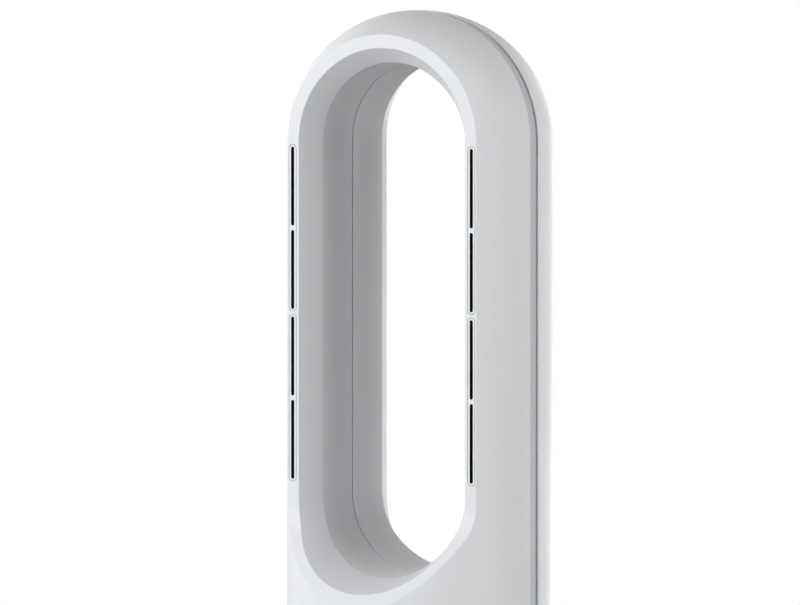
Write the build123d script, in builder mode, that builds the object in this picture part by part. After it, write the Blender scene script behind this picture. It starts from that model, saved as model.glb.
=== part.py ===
from build123d import *
from math import atan, cos, pi, radians, sin, sqrt, tan
import os

# Bladeless tower fan. Millimetres, +Z up, -Y is the front, the origin is the
# centre of the footprint on the floor.

# ---- tower body and its two shells ------------------------------------------
body_radius = 110.0          # capsule-shaped tower, outside
wall = 3.0                   # moulded wall of both shells
bore_inset = 43.6            # from the tower's side to the opening at its narrowest
rim_inset = 30.3             # from the tower's side to the inner edge of the front band
band_width = 10.472          # flat front band
crease_depth = 19.0          # depth of the flare behind the front band
crease_follow = 0.37         # how much the crease follows the band's sweep
rear_rim_inset = 39.1        # from the tower's side to the inner edge of the rear band
rear_band_width = 7.656      # flat rear band
rear_rim_depth = 16.7        # depth of the rear flare
sweep_margin = 12.6          # height of the swept band below the front rim
sweep_rise = 19.7            # the swept band ends this far above the plenum's lid
sweep_angle = 33.3           # lean of the swept band from upright, degrees
sweep_bend = 50.0            # bend radius between the upright and swept band
seam_y = 7.0                 # plane where the front shell ends
bore_seam = 1.2              # thin gap between the shells inside the opening
groove_width = 4.4           # groove between the shells on the outside
gasket_recess = 1.8          # the gasket lies this far below the outside
gasket_depth = 3.2           # radial depth of the outer gasket
seam_chamfer_depth = 1.2     # the front shell eases in towards the groove
seam_chamfer_length = 12.0
liner_lap = 0.8              # the bore gasket's setback behind the liner
liner_gasket_depth = 3.0

# ---- slotted inserts in the front band --------------------------------------
insert_shift = 0.55          # outwards from the middle of the band
insert_width = 7.2
insert_length = 141.2
insert_space = 2.4           # between the upper and the lower insert
straight_margin = 15.2       # straight run of the opening beyond the inserts
insert_lift = 4.6            # the group's centre above the opening's centre
insert_gap = 0.2             # shadow line all round each insert
slot_width = 2.4
slot_end = 2.05              # between a slot and its insert's end
slot_bridge = 3.7            # between the two slots of one insert
slot_lip = 7.0               # depth of the narrow part of each slot
slot_throat = 4.2            # width of the wider channel behind the lip

# ---- air ducts in the two arms ----------------------------------------------
duct_bore_gap = 3.6          # between a duct and the opening's liner
duct_plenum_gap = 0.6        # between a duct's corners and the plenum's wall line
duct_half_depth = 30.0
duct_wall = 2.0
duct_top_margin = 4.0        # above the topmost insert

# ---- base -------------------------------------------------------------------
base_radius = 135.0
foot_count = 6
foot_radius = 9.0
foot_inset = 17.0            # feet inside the base's edge
foot_height = 4.0
foot_pocket = 2.0            # the feet sit this deep in the base pan
pan_floor = 4.0
pan_wall = 3.0
pan_height = 14.0            # from the pan's underside to its rim
weight_thickness = 8.0
weight_inner = 46.0
weight_gap = 2.2             # between the weight and the screw posts
cover_height = 10.0
cover_wall = 3.0
cover_shoulder = 20.0        # how far in the cover's flat top begins
cover_edge = 4.0             # height of the cover's upright edge
cover_crown = 2.0            # rise of the cover's rounded shoulder within its edge
cover_lip = 1.0              # the cover's lip inside the pan's wall
post_radius = 16.0
wire_bore = 9.0
running_gap = 0.08           # radial clearance of a shaft in its bearing
screw_radius = 2.0
screw_head_radius = 3.8
screw_head_height = 2.4
base_screw_length = 14.0
small_screw_radius = 1.5
small_head_radius = 2.8
small_head_height = 1.8
base_screw_inset = 27.0      # screws inside the base's edge
base_screw_count = 6
inlet_width = 17.0
inlet_height = 7.0
inlet_depth = 16.0
inlet_wall = 1.4
inlet_pin_radius = 1.2
inlet_pin_spacing = 8.6
inlet_pin_length = 9.0

# ---- swing drive ------------------------------------------------------------
gear_module = 2.0
fixed_teeth = 40
pinion_teeth = 15
pressure_angle = 20.0
tooth_addendum = 0.8         # in modules
tooth_dedendum = 1.1         # in modules
tooth_play = 0.3             # backlash at the pitch circle
gear_thickness = 6.0
pinion_thickness = 5.0
gear_room = 10.0             # height between base cover and chassis floor
skirt_gap = 2.0              # open line between base and tower
slide_ring_inset = 16.0      # inside the tower's outside
slide_ring_width = 10.0
slide_ring_height = 3.0
slide_gap = 0.3
motor_radius = 25.0
motor_height = 20.0
motor_shaft_radius = 3.5
pinion_shaft_grip = 12.0     # pinion shaft inside the motor
pinion_shaft_room = 2.0      # round the pinion's shaft in the floor
motor_ear_length = 66.0
motor_ear_width = 10.0
motor_ear_thickness = 1.5

# ---- chassis, grille and filter ---------------------------------------------
chassis_floor_t = 4.0
skirt_wall = 3.0
locating_ring_height = 4.0
locating_ring_wall = 3.0
locating_gap = 0.3
bushing_flange = 5.0
bushing_wall = 3.0
bushing_flange_t = 2.0
retainer_radius = 22.0
retainer_thickness = 3.0
retainer_screws = 3
retainer_screw_length = 10.0
motor_screw_length = 5.0
grille_wall = 2.8
grille_height = 188.0
grille_rows = 2
grille_slots = 72
grille_slot_width = 4.4
grille_band = 12.0           # plain band above, between and below the rows
filter_thickness = 2.4
filter_gap = 0.4
mid_plate_t = 4.0

# ---- fan stage --------------------------------------------------------------
mount_radius = 5.0
mount_height = 8.0
mount_inset = 6.0            # mounts inside the casing flange's edge
mount_count = 4
casing_room = 10.0           # between the casing's flange and the shells
casing_flange = 14.0         # width of the casing's flange
casing_flange_t = 3.0
casing_wall = 3.0
casing_over = 6.0            # casing above the motor can
seal_wall = 4.0
throat_step = 22.5           # bellmouth's throat inside the impeller's tip
bell_flare = 10.0            # mouth beyond the throat
bell_seat = 8.0              # flange's width on the plate
bell_flange_t = 2.0
bell_height = 14.0
bell_wall = 2.0
bell_lap = 2.0               # the plate's hole beyond the mouth
impeller_lift = 18.0         # impeller's lower edge above the mid plate
impeller_height = 44.0
inlet_gap = 2.0              # the impeller's inlet beyond the bellmouth's throat
tip_gap = 3.5                # between the impeller's shroud and the casing
passage_width = 15.5         # between shroud and hub at the outlet
impeller_eye = 12.0
hub_waist_radius = 34.0
hub_waist_rise = 18.5
shroud_drop = 9.0            # the shroud ends this far below the impeller's top
blade_root = 18.0            # blades begin at this radius
impeller_skin = 2.2
blade_count = 9
blade_thickness = 1.8
blade_turn = 52.0            # sweep of each blade in plan, degrees
vane_camber = 0.38           # share of the turn reached half way out
shaft_radius = 4.0
shaft_stub = 4.0             # shaft below the impeller's eye and above the can
diffuser_gap = 5.0           # between impeller and diffuser hub
diffuser_hub = 46.0
diffuser_wall = 2.4
diffuser_floor = 3.0
vane_count = 13
vane_thickness = 2.0
vane_turn = 18.0
vane_height = 34.0
can_gap = 7.6                # cooling gap between the can and the diffuser's hub
can_wall = 1.5
can_height = 42.0
bearing_radius = 11.0
bearing_width = 7.0
air_gap = 1.5                # between magnet and stator
stator_height = 22.0
magnet_radius = 22.5
magnet_height = 20.0

# ---- plenum -----------------------------------------------------------------
plenum_gap = 3.4             # between plenum and shell, clear of the gasket
plenum_wall = 2.0
plenum_cone = 24.0
plenum_height = 68.0
plenum_board_gap = 4.8       # between the plenum's flat front and the display board
plenum_lid = 3.0
divider_inset = 17.0         # between the divider's edges and the ducts
divider_half_depth = 66.0
divider_height = 44.0
divider_waist = 20.0         # half width at half height
divider_wall = 2.5

# ---- controls ---------------------------------------------------------------
panel_drop = 66.7            # the panel's middle below the end of the swept band
panel_length = 110.0
panel_width = 30.0
panel_gap = 0.2
panel_seat = 5.1             # front of the panel's flange below the tower's outside
panel_flange = 4.0           # the flange reaches this far past the opening
panel_flange_t = 2.0
button_shoulder = 0.6        # the buttons' stop in front of the panel's flange
window_width = 20.0
window_height = 24.0
window_lift = 33.0
window_corner = 2.0
window_depth = 3.0
window_sink = 0.3
button_radius = 6.0
button_pitch = 17.5
button_lift = 9.0            # topmost button above the panel's centre
button_gap = 0.3
button_proud = 0.6
button_flange = 1.2
button_flange_t = 1.0
button_travel = 1.0
button_stem_radius = 2.0
button_room = 0.3            # free play before the switch is reached
stem_reach = 0.1             # the stem ends this far behind the panel's flange
switch_height = 3.0
switch_size = 6.0
board_thickness = 1.6
display_board_width = 32.0
display_board_length = 104.0
board_post_radius = 2.0
board_post_edge = 1.0        # between a post and the board's edge
display_edge = 4.0           # the display is this much smaller than its window
main_board_inset = 11.0      # board inside the shell's inner face
main_board_width = 64.0
main_board_length = 84.0
main_board_lift = 24.0
board_boss_radius = 3.5
board_boss_x = 27.0
board_boss_z = 36.0
capacitor_radius = 5.0
capacitor_height = 7.0
chip_size = 12.0
chip_height = 2.5
chip_pitch = 19.2            # across the board
chip_rows = 24.0

# ---- shell screws -----------------------------------------------------------
shell_screw_inset = 11.0     # screws inside the tower's outside
shell_screw_angles = (45.0, 135.0, 225.0, 315.0)
shell_boss_width = 9.0
shell_boss_gap = 1.0         # between the screw webs and the casing's flange
shell_screw_length = 9.0
screw_sink = 0.4             # heads lie this far below the surface round them
low_head_radius = 2.8        # heads of the shell screws

cutter_over = 40.0           # cutters run this far past the tower's side

# ---- heights and places that follow from the sizes above --------------------
inner_radius = body_radius - wall
bore_radius = body_radius - bore_inset
rim_radius = body_radius - rim_inset
rear_rim_radius = body_radius - rear_rim_inset
front_face = sqrt(body_radius**2 - (rim_radius + band_width) ** 2)
rear_face = sqrt(body_radius**2 - (rear_rim_radius + rear_band_width) ** 2)
sweep_drop = rim_radius + sweep_margin
insert_pitch = insert_length + insert_space
slot_length = (insert_length - slot_bridge) / 2 - slot_end
slot_pitch = slot_length + slot_bridge
loop_straight = insert_pitch + insert_length + straight_margin
casing_flange_radius = inner_radius - casing_room
casing_radius = casing_flange_radius - casing_flange
casing_inner = casing_radius - casing_wall
impeller_tip = casing_inner - tip_gap
bell_throat = impeller_tip - throat_step
pan_z = foot_height - foot_pocket
pan_top = pan_z + pan_floor
cover_z = pan_z + pan_height
cover_top = cover_z + cover_height
chassis_z = cover_top + gear_room
chassis_top = chassis_z + chassis_floor_t
grille_z = chassis_top
mid_plate_z = grille_z + grille_height
shell_z = mid_plate_z + mid_plate_t
casing_z = shell_z + mount_height
impeller_z = shell_z + impeller_lift
impeller_top = impeller_z + impeller_height
diffuser_z = impeller_top + diffuser_gap
can_z = diffuser_z + diffuser_floor
can_top = can_z + can_height
casing_top = can_top + casing_over
plenum_z = casing_top
plenum_top = plenum_z + plenum_height
loop_low_z = plenum_top + sweep_rise + sweep_drop
loop_high_z = loop_low_z + loop_straight
loop_mid_z = loop_low_z + loop_straight / 2
tower_top = loop_high_z + body_radius
foot_ring = base_radius - foot_inset
base_screw_ring = base_radius - base_screw_inset
weight_outer = base_screw_ring - screw_head_radius - weight_gap
slide_ring_outer = body_radius - slide_ring_inset
slide_ring_inner = slide_ring_outer - slide_ring_width
mount_ring = casing_flange_radius - mount_inset
bell_mouth = bell_throat + bell_flare
bell_hole = bell_mouth + bell_lap
bell_flange = bell_hole + bell_seat
impeller_inlet = bell_throat + inlet_gap
impeller_rim = impeller_tip - passage_width
hub_inner = diffuser_hub - diffuser_wall
can_radius = hub_inner - can_gap
can_inner = can_radius - can_wall
stator_inner = magnet_radius + air_gap
plenum_radius = inner_radius - plenum_gap
insert_x = rim_radius + band_width / 2 + insert_shift
insert_mid_z = loop_mid_z + insert_lift
duct_top = insert_mid_z + (insert_pitch + insert_length) / 2 + duct_top_margin
duct_inner_x = bore_radius + wall + duct_bore_gap
duct_outer_x = sqrt((plenum_radius - plenum_wall - duct_plenum_gap) ** 2 - duct_half_depth**2)
fixed_pitch_radius = gear_module * fixed_teeth / 2
pinion_pitch_radius = gear_module * pinion_teeth / 2
drive_offset = fixed_pitch_radius + pinion_pitch_radius
retainer_screw_ring = (post_radius + wire_bore) / 2
shell_screw_ring = body_radius - shell_screw_inset
shell_boss_height = mount_height - shell_boss_gap
main_board_y = inner_radius - main_board_inset
rear_seam_y = seam_y + bore_seam
groove_end = seam_y + groove_width
panel_z = loop_low_z - sweep_drop - panel_drop
panel_back = body_radius - panel_seat
flange_back = panel_back - panel_flange_t
stem_end = flange_back - stem_reach
switch_face = stem_end - button_travel - button_room
board_front = switch_face - switch_height
plenum_flat = board_front - board_thickness - plenum_board_gap
reach = body_radius + cutter_over

os.makedirs("parts", exist_ok=True)


def finish(part, name):
    """Label one finished piece and write it."""
    part.label = name
    export_step(part, f"parts/{name}.step")
    box = part.bounding_box()
    print(f"{name}: {len(part.solids())} solids, {part.volume:.0f} mm3, z {box.min.Z:.1f}..{box.max.Z:.1f}")


def ring(inner, outer, low, high):
    """Plain upright ring between two radii and two heights."""
    with BuildPart() as piece:
        with BuildSketch(Plane.XY.offset(low)):
            Circle(outer)
            Circle(inner, mode=Mode.SUBTRACT)
        extrude(amount=high - low)
    return piece.part


def turned(points):
    """Solid of revolution about the tower's axis from (radius, height) points."""
    with BuildPart() as piece:
        with BuildSketch(Plane.XZ):
            with BuildLine():
                Polyline(*points, close=True)
            make_face()
        revolve(axis=Axis.Z)
    return piece.part


# ---- the tower's outer form and its opening ---------------------------------

def capsule(radius, low):
    """Upright cylinder under half a sphere, centred on the upper half round."""
    with BuildPart() as piece:
        with BuildSketch(Plane.XZ):
            with BuildLine():
                Polyline((0, loop_high_z + radius), (0, low), (radius, low), (radius, loop_high_z))
                RadiusArc((radius, loop_high_z), (0, loop_high_z + radius), -radius)
            make_face()
        revolve(axis=Axis.Z)
    return piece.part


def sweep_corner(face):
    """Height where the upright band and the swept band would meet in a corner."""
    return loop_low_z - sweep_drop + (body_radius - face) / tan(radians(sweep_angle))


def face_depth(z, face):
    """Distance of the flat or swept band from the axis at one height."""
    lean = radians(sweep_angle)
    bend_z = sweep_corner(face) + sweep_bend * tan(lean / 2)
    if z >= bend_z:
        return face
    if z >= bend_z - sweep_bend * sin(lean):
        return face + sweep_bend - sqrt(sweep_bend**2 - (bend_z - z) ** 2)
    return face + (sweep_corner(face) - z) * tan(lean)


def face_cut(face, side, inset):
    """Block that planes the band flat and sweeps it out below, drawn in by inset."""
    corner = sweep_corner(face)
    low = corner - (reach - face) / tan(radians(sweep_angle))
    high = tower_top + wall
    with BuildPart() as piece:
        with BuildSketch(Plane.YZ) as profile:
            with BuildLine():
                Polyline(
                    (side * (reach - inset), low),
                    (side * (face - inset), corner),
                    (side * (face - inset), high),
                    (side * (reach - inset), high),
                    close=True,
                )
            make_face()
            bend = profile.vertices().sort_by_distance((side * (face - inset), corner))[0]
            fillet(bend, sweep_bend)
        extrude(amount=reach, both=True)
    return piece.part


def outline(points, radius, y):
    """Edges of one outline round the opening; the lower half round is free form."""
    share = [i / (len(points) - 1) for i in range(len(points))]
    down, up = Vector(0, 0, -1), Vector(0, 0, 1)
    lower = Edge.make_spline([Vector(*p) for p in points], tangents=[down, up], parameters=share)
    left = Edge.make_line((-radius, y, loop_low_z), (-radius, y, loop_high_z))
    crown = (0, y, loop_high_z + radius)
    upper = Edge.make_three_point_arc((-radius, y, loop_high_z), crown, (radius, y, loop_high_z))
    right = Edge.make_line((radius, y, loop_high_z), (radius, y, loop_low_z))
    return [lower, left, upper, right]


def flare_tool(face, side, rim, throat, depth, steps=24, over=0.3, under=0.12, core=0.8):
    """Cutter of the flare between a band's rim and the crease of the opening.

    Straight lines join the rim, which follows the swept band, to the crease, and
    run on a little past both, so that the body's own faces trim them.
    """
    turns = [pi * i / steps for i in range(steps + 1)]
    rim_y = [face_depth(loop_low_z - rim * sin(t), face) for t in turns]
    crease_y = [face - depth + crease_follow * (y - face) for y in rim_y]
    wide = rim + over * (rim - throat)
    narrow = throat - under * (rim - throat)
    wide_y = [a + over * (a - b) for a, b in zip(rim_y, crease_y)]
    narrow_y = [b - under * (a - b) for a, b in zip(rim_y, crease_y)]
    back = min(narrow_y) - depth
    rows = (
        (wide, [reach] * len(turns)),
        (wide, wide_y),
        (narrow, narrow_y),
        (core * narrow, [back] * len(turns)),
    )
    outlines = []
    for radius, depths in rows:
        points = [
            (radius * cos(t), side * y, loop_low_z - radius * sin(t)) for t, y in zip(turns, depths)
        ]
        outlines.append(outline(points, radius, side * depths[0]))
    faces = [Face(Wire(outlines[0])), Face(Wire(outlines[-1]))]
    for near, far in zip(outlines, outlines[1:]):
        faces += [Face.make_surface_from_curves(a, b) for a, b in zip(near, far)]
    return Solid(Shell(faces))


def opening(grow):
    """The whole opening through the tower, grown by a wall thickness."""
    with BuildPart() as piece:
        with BuildSketch(Plane.XZ):
            with Locations((0, loop_mid_z)):
                SlotCenterToCenter(loop_straight, 2 * (bore_radius + grow), rotation=90)
        extrude(amount=reach, both=True)
    lean = sqrt(1 + ((rim_radius - bore_radius) / crease_depth) ** 2)
    front = flare_tool(front_face, -1, rim_radius + grow * lean, bore_radius + grow * lean, crease_depth)
    lean = sqrt(1 + ((rear_rim_radius - bore_radius) / rear_rim_depth) ** 2)
    rear = flare_tool(
        rear_face, 1, rear_rim_radius + grow * lean, bore_radius + grow * lean, rear_rim_depth
    )
    return piece.part + front + rear


def tower_block(inset, low):
    """The tower's form, drawn in by inset: the outside at 0, the cavity at one wall."""
    block = capsule(body_radius - inset, low)
    block = block - face_cut(front_face, -1, inset) - face_cut(rear_face, 1, inset)
    return block - opening(inset)


def slab(y_low, y_high, low=0.0):
    """Block across the whole tower between two depths."""
    with BuildPart() as piece:
        with BuildSketch(Plane.XZ.offset(-y_low)):
            with Locations((0, (low + tower_top + reach) / 2)):
                Rectangle(4 * reach, tower_top + reach - low)
        extrude(amount=y_low - y_high)
    return piece.part


def arch(half_width, y_low, y_high, low):
    """Block under an upright arch outline of one half width."""
    with BuildPart() as piece:
        with BuildSketch(Plane.XZ.offset(-y_low)):
            with BuildLine():
                Line((-half_width, low), (half_width, low))
                Line((half_width, low), (half_width, loop_high_z))
                RadiusArc((half_width, loop_high_z), (-half_width, loop_high_z), -half_width)
                Line((-half_width, loop_high_z), (-half_width, low))
            make_face()
        extrude(amount=y_low - y_high)
    return piece.part


shell_body = tower_block(0.0, shell_z) - tower_block(wall, shell_z - wall)

# ---- front shell ------------------------------------------------------------
chamfer_start = seam_y - seam_chamfer_length


def seam_chamfer():
    """What the front shell's outside loses as it eases in towards the groove."""
    half = sqrt(body_radius**2 - chamfer_start**2)
    narrow = sqrt(body_radius**2 - seam_y**2) - seam_chamfer_depth
    low = shell_z - reach
    with BuildPart() as core:
        for y, radius in ((chamfer_start, half), (seam_y, narrow)):
            with BuildSketch(Plane.XZ.offset(-y)):
                with BuildLine():
                    Line((-radius, low), (radius, low))
                    Line((radius, low), (radius, loop_high_z))
                    RadiusArc((radius, loop_high_z), (-radius, loop_high_z), -radius)
                    Line((-radius, loop_high_z), (-radius, low))
                make_face()
        loft(ruled=True)
    return slab(chamfer_start, seam_y) - core.part


def insert_spots():
    """Name, x and z of each slotted insert."""
    spots = []
    for hand, x in (("left", -insert_x), ("right", insert_x)):
        for level, z in (("lower", -insert_pitch / 2), ("upper", insert_pitch / 2)):
            spots.append((f"nozzle_{hand}_{level}", x, insert_mid_z + z))
    return spots


def band_slot(x, z, length, width, y_front, depth):
    """Round-ended upright bar that runs back from one depth in front of the axis."""
    with BuildPart() as piece:
        with BuildSketch(Plane.XZ.offset(y_front)):
            with Locations((x, z)):
                SlotOverall(length, width, rotation=90)
        extrude(amount=-depth)
    return piece.part


def shell_bosses():
    """Short radial webs low in both shells that take the screws from below."""
    inner_end = shell_screw_ring - shell_boss_width / 2
    outer_end = body_radius - wall / 2
    with BuildPart() as piece:
        with BuildSketch(Plane.XY.offset(shell_z)):
            for angle in shell_screw_angles:
                with Locations(Rotation(0, 0, angle)):
                    with Locations(((inner_end + outer_end) / 2, 0)):
                        SlotOverall(outer_end - inner_end, shell_boss_width)
        extrude(amount=shell_boss_height)
        with BuildSketch(Plane.XY.offset(shell_z)):
            for angle in shell_screw_angles:
                with Locations(Rotation(0, 0, angle)):
                    with Locations((shell_screw_ring, 0)):
                        Circle(screw_radius)
        extrude(amount=shell_boss_height, mode=Mode.SUBTRACT)
    return piece.part


front_half = shell_body - slab(seam_y, reach) - seam_chamfer()
front_half = front_half + (shell_bosses() - slab(-wall, reach))
for _, x, z in insert_spots():
    front_half = front_half - band_slot(x, z, insert_length, insert_width, front_face + wall, 3 * wall)
front_half = front_half - band_slot(0, panel_z, panel_length, panel_width, reach, reach - panel_back + wall)
front_shell = front_half.solids().sort_by(SortBy.VOLUME)[-1]
finish(front_shell, "front_shell")

# ---- rear shell -------------------------------------------------------------
rear_half = shell_body - slab(-reach, rear_seam_y)
groove_tool = slab(seam_y - wall, groove_end) - arch(
    (bore_radius + body_radius) / 2, seam_y - 2 * wall, groove_end + wall, shell_z - reach
)
rear_half = rear_half - groove_tool

with BuildPart() as rear_shell:
    add(rear_half)
    add(shell_bosses() - slab(-reach, wall))
    # bosses that carry the main board, run out to the shell's own wall
    with BuildSketch(Plane.XZ.offset(-(main_board_y + board_thickness))):
        with Locations((0, shell_z + main_board_lift + main_board_length / 2)):
            with GridLocations(2 * board_boss_x, 2 * board_boss_z, 2, 2):
                Circle(board_boss_radius)
    extrude(amount=-(sqrt(inner_radius**2 - board_boss_x**2) + wall / 2 - main_board_y - board_thickness))
finish(rear_shell.part, "rear_shell")

# ---- gaskets ----------------------------------------------------------------
gasket_out = sqrt(body_radius**2 - groove_end**2) - gasket_recess
with BuildPart() as seam_gasket:
    add(arch(gasket_out, seam_y, groove_end, shell_z))
    add(
        arch(gasket_out - gasket_depth, seam_y - wall, groove_end + wall, shell_z - wall),
        mode=Mode.SUBTRACT,
    )
finish(seam_gasket.part, "seam_gasket")

with BuildPart() as bore_gasket:
    with BuildSketch(Plane.XZ.offset(-seam_y)):
        with Locations((0, loop_mid_z)):
            lip = bore_radius + liner_lap
            SlotCenterToCenter(loop_straight, 2 * (lip + liner_gasket_depth), rotation=90)
            SlotCenterToCenter(loop_straight, 2 * lip, rotation=90, mode=Mode.SUBTRACT)
    extrude(amount=-bore_seam)
finish(bore_gasket.part, "bore_gasket")

# ---- slotted inserts --------------------------------------------------------
insert_depth = front_face - duct_half_depth


def nozzle(x, z):
    """One insert: round-ended bar with two narrow slots that widen behind their lips."""
    plug = band_slot(x, z, insert_length - 2 * insert_gap, insert_width - 2 * insert_gap, front_face, insert_depth)
    for step in (-slot_pitch / 2, slot_pitch / 2):
        plug = plug - band_slot(x, z + step, slot_length, slot_width, reach, 2 * reach)
        throat = slot_length + slot_throat - slot_width
        plug = plug - band_slot(x, z + step, throat, slot_throat, front_face - slot_lip, reach)
    return plug


for name, x, z in insert_spots():
    finish(nozzle(x, z), name)

# ---- ducts in the arms ------------------------------------------------------

def duct(side):
    """Square riser beside the opening, closed on top, with a window behind each slot."""
    mid_x = (duct_inner_x + duct_outer_x) / 2
    width = duct_outer_x - duct_inner_x
    with BuildPart() as piece:
        with BuildSketch(Plane.XY.offset(plenum_top)):
            with Locations((side * mid_x, 0)):
                Rectangle(width, 2 * duct_half_depth)
        extrude(amount=duct_top - plenum_top)
        with BuildSketch(Plane.XY.offset(plenum_top)):
            with Locations((side * mid_x, 0)):
                Rectangle(width - 2 * duct_wall, 2 * (duct_half_depth - duct_wall))
        extrude(amount=duct_top - plenum_top - duct_wall, mode=Mode.SUBTRACT)
        with BuildSketch(Plane.XZ.offset(duct_half_depth)):
            for level in (-insert_pitch / 2, insert_pitch / 2):
                for step in (-slot_pitch / 2, slot_pitch / 2):
                    with Locations((side * insert_x, insert_mid_z + level + step)):
                        SlotOverall(slot_length, slot_throat, rotation=90)
        extrude(amount=-duct_wall, mode=Mode.SUBTRACT)
    return piece.part


finish(duct(-1), "duct_left")
finish(duct(1), "duct_right")

# ---- base -------------------------------------------------------------------

with BuildPart() as rubber_feet:
    with BuildSketch():
        with PolarLocations(foot_ring, foot_count):
            Circle(foot_radius)
    extrude(amount=foot_height)
finish(rubber_feet.part, "rubber_feet")

inlet_mid_z = pan_top + inlet_wall + inlet_height / 2
inlet_y = sqrt((base_radius - pan_wall) ** 2 - (inlet_width / 2 + inlet_wall) ** 2)
post_top = chassis_top + bushing_flange_t + slide_gap

with BuildPart() as base_pan:
    with BuildSketch(Plane.XY.offset(pan_z)):
        Circle(base_radius)
    extrude(amount=pan_floor)
    with BuildSketch(Plane.XY.offset(pan_top)):
        Circle(base_radius)
        Circle(base_radius - pan_wall, mode=Mode.SUBTRACT)
    extrude(amount=cover_z - pan_top)
    with BuildSketch(Plane.XY.offset(pan_top)):
        Circle(post_radius)
    extrude(amount=post_top - pan_top)
    with BuildSketch(Plane.XY.offset(pan_z)):
        Circle(wire_bore)
    extrude(amount=post_top - pan_z, mode=Mode.SUBTRACT)
    with BuildSketch(Plane.XY.offset(pan_top)):
        with PolarLocations(base_screw_ring, base_screw_count, start_angle=180 / base_screw_count):
            Circle(screw_head_radius)
    extrude(amount=cover_top - cover_wall - pan_top)
    with BuildSketch(Plane.XY.offset(pan_z)):
        with PolarLocations(base_screw_ring, base_screw_count, start_angle=180 / base_screw_count):
            Circle(screw_radius)
    extrude(amount=reach, mode=Mode.SUBTRACT)
    with BuildSketch(Plane.XY.offset(pan_z)):
        with PolarLocations(base_screw_ring, base_screw_count, start_angle=180 / base_screw_count):
            Circle(screw_head_radius)
    extrude(amount=screw_head_height + screw_sink, mode=Mode.SUBTRACT)
    with BuildSketch(Plane.XY.offset(post_top)):
        with PolarLocations(retainer_screw_ring, retainer_screws):
            Circle(small_screw_radius)
    extrude(amount=-retainer_screw_length, mode=Mode.SUBTRACT)
    with BuildSketch(Plane.XY.offset(pan_z)):
        with PolarLocations(foot_ring, foot_count):
            Circle(foot_radius)
    extrude(amount=foot_pocket, mode=Mode.SUBTRACT)
    with BuildSketch(Plane.XZ.offset(-base_radius - wall)):
        with Locations((0, inlet_mid_z)):
            SlotOverall(inlet_width, inlet_height)
    extrude(amount=pan_wall + 2 * wall, mode=Mode.SUBTRACT)
finish(base_pan.part, "base_pan")

with BuildPart() as power_inlet:
    with BuildSketch(Plane.XZ.offset(-inlet_y)):
        with Locations((0, inlet_mid_z)):
            SlotOverall(inlet_width + 2 * inlet_wall, inlet_height + 2 * inlet_wall)
    extrude(amount=inlet_depth)
    with BuildSketch(Plane.XZ.offset(-inlet_y)):
        with Locations((0, inlet_mid_z)):
            SlotOverall(inlet_width, inlet_height)
    extrude(amount=inlet_depth - inlet_wall, mode=Mode.SUBTRACT)
    with BuildSketch(Plane.XZ.offset(inlet_depth - inlet_wall - inlet_y)):
        with Locations((0, inlet_mid_z)):
            with GridLocations(inlet_pin_spacing, 0, 2, 1):
                Circle(inlet_pin_radius)
    extrude(amount=-inlet_pin_length)
finish(power_inlet.part, "power_inlet")

with BuildPart() as base_weight:
    add(ring(weight_inner, weight_outer, pan_top, pan_top + weight_thickness))
finish(base_weight.part, "base_weight")

cover_under = cover_top - cover_wall
base_cover = turned(
    [
        (post_radius + locating_gap, cover_under),
        (base_radius - cover_shoulder, cover_under),
        (base_radius - pan_wall - cover_lip, cover_z + cover_lip),
        (base_radius - pan_wall - cover_lip, cover_z),
        (base_radius, cover_z),
        (base_radius, cover_z + cover_edge),
        (base_radius - cover_edge, cover_z + cover_edge + cover_crown),
        (base_radius - cover_shoulder, cover_top),
        (post_radius + locating_gap, cover_top),
    ]
)
finish(base_cover, "base_cover")

with BuildPart() as base_screws:
    with BuildSketch(Plane.XY.offset(pan_z + screw_sink)):
        with PolarLocations(base_screw_ring, base_screw_count, start_angle=180 / base_screw_count):
            Circle(screw_head_radius)
    extrude(amount=screw_head_height)
    with BuildSketch(Plane.XY.offset(pan_z + screw_sink)):
        with PolarLocations(base_screw_ring, base_screw_count, start_angle=180 / base_screw_count):
            Circle(screw_radius)
    extrude(amount=screw_head_height + base_screw_length)
finish(base_screws.part, "base_screws")

finish(ring(slide_ring_inner, slide_ring_outer, cover_top, cover_top + slide_ring_height), "slide_ring")

# ---- swing drive ------------------------------------------------------------

def gear_face(teeth, phase, flank_steps=4):
    """Points of an involute gear's outline, one tooth centred on the phase angle."""
    pitch = gear_module * teeth / 2
    base = pitch * cos(radians(pressure_angle))
    tip = pitch + tooth_addendum * gear_module
    root = pitch - tooth_dedendum * gear_module
    pitch_lean = tan(radians(pressure_angle)) - radians(pressure_angle)
    half_tooth = pi / (2 * teeth) - tooth_play / (4 * pitch)
    start = max(base, root)

    def half_angle(radius):
        """Half the tooth's angle at one radius on its involute flank."""
        roll = sqrt(max((radius / base) ** 2 - 1, 0))
        return half_tooth + pitch_lean - (roll - atan(roll))

    radii = [start + (tip - start) * i / flank_steps for i in range(flank_steps + 1)]
    flank = [(radius, half_angle(radius)) for radius in radii]
    if root < start:
        flank = [(root, half_angle(start))] + flank
    points = []
    for tooth in range(teeth):
        middle = radians(phase) + 2 * pi * tooth / teeth
        points += [(radius, middle - angle) for radius, angle in flank]
        points += [(radius, middle + angle) for radius, angle in reversed(flank)]
    return [(radius * cos(angle), radius * sin(angle)) for radius, angle in points]


def gear(teeth, phase, low, thickness):
    """Spur gear about the origin."""
    with BuildPart() as piece:
        with BuildSketch(Plane.XY.offset(low)):
            with BuildLine():
                Polyline(*gear_face(teeth, phase), close=True)
            make_face()
        extrude(amount=thickness)
    return piece.part


pinion_z = cover_top + (gear_thickness - pinion_thickness) / 2
pinion_shaft_top = chassis_top + pinion_shaft_grip

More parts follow.
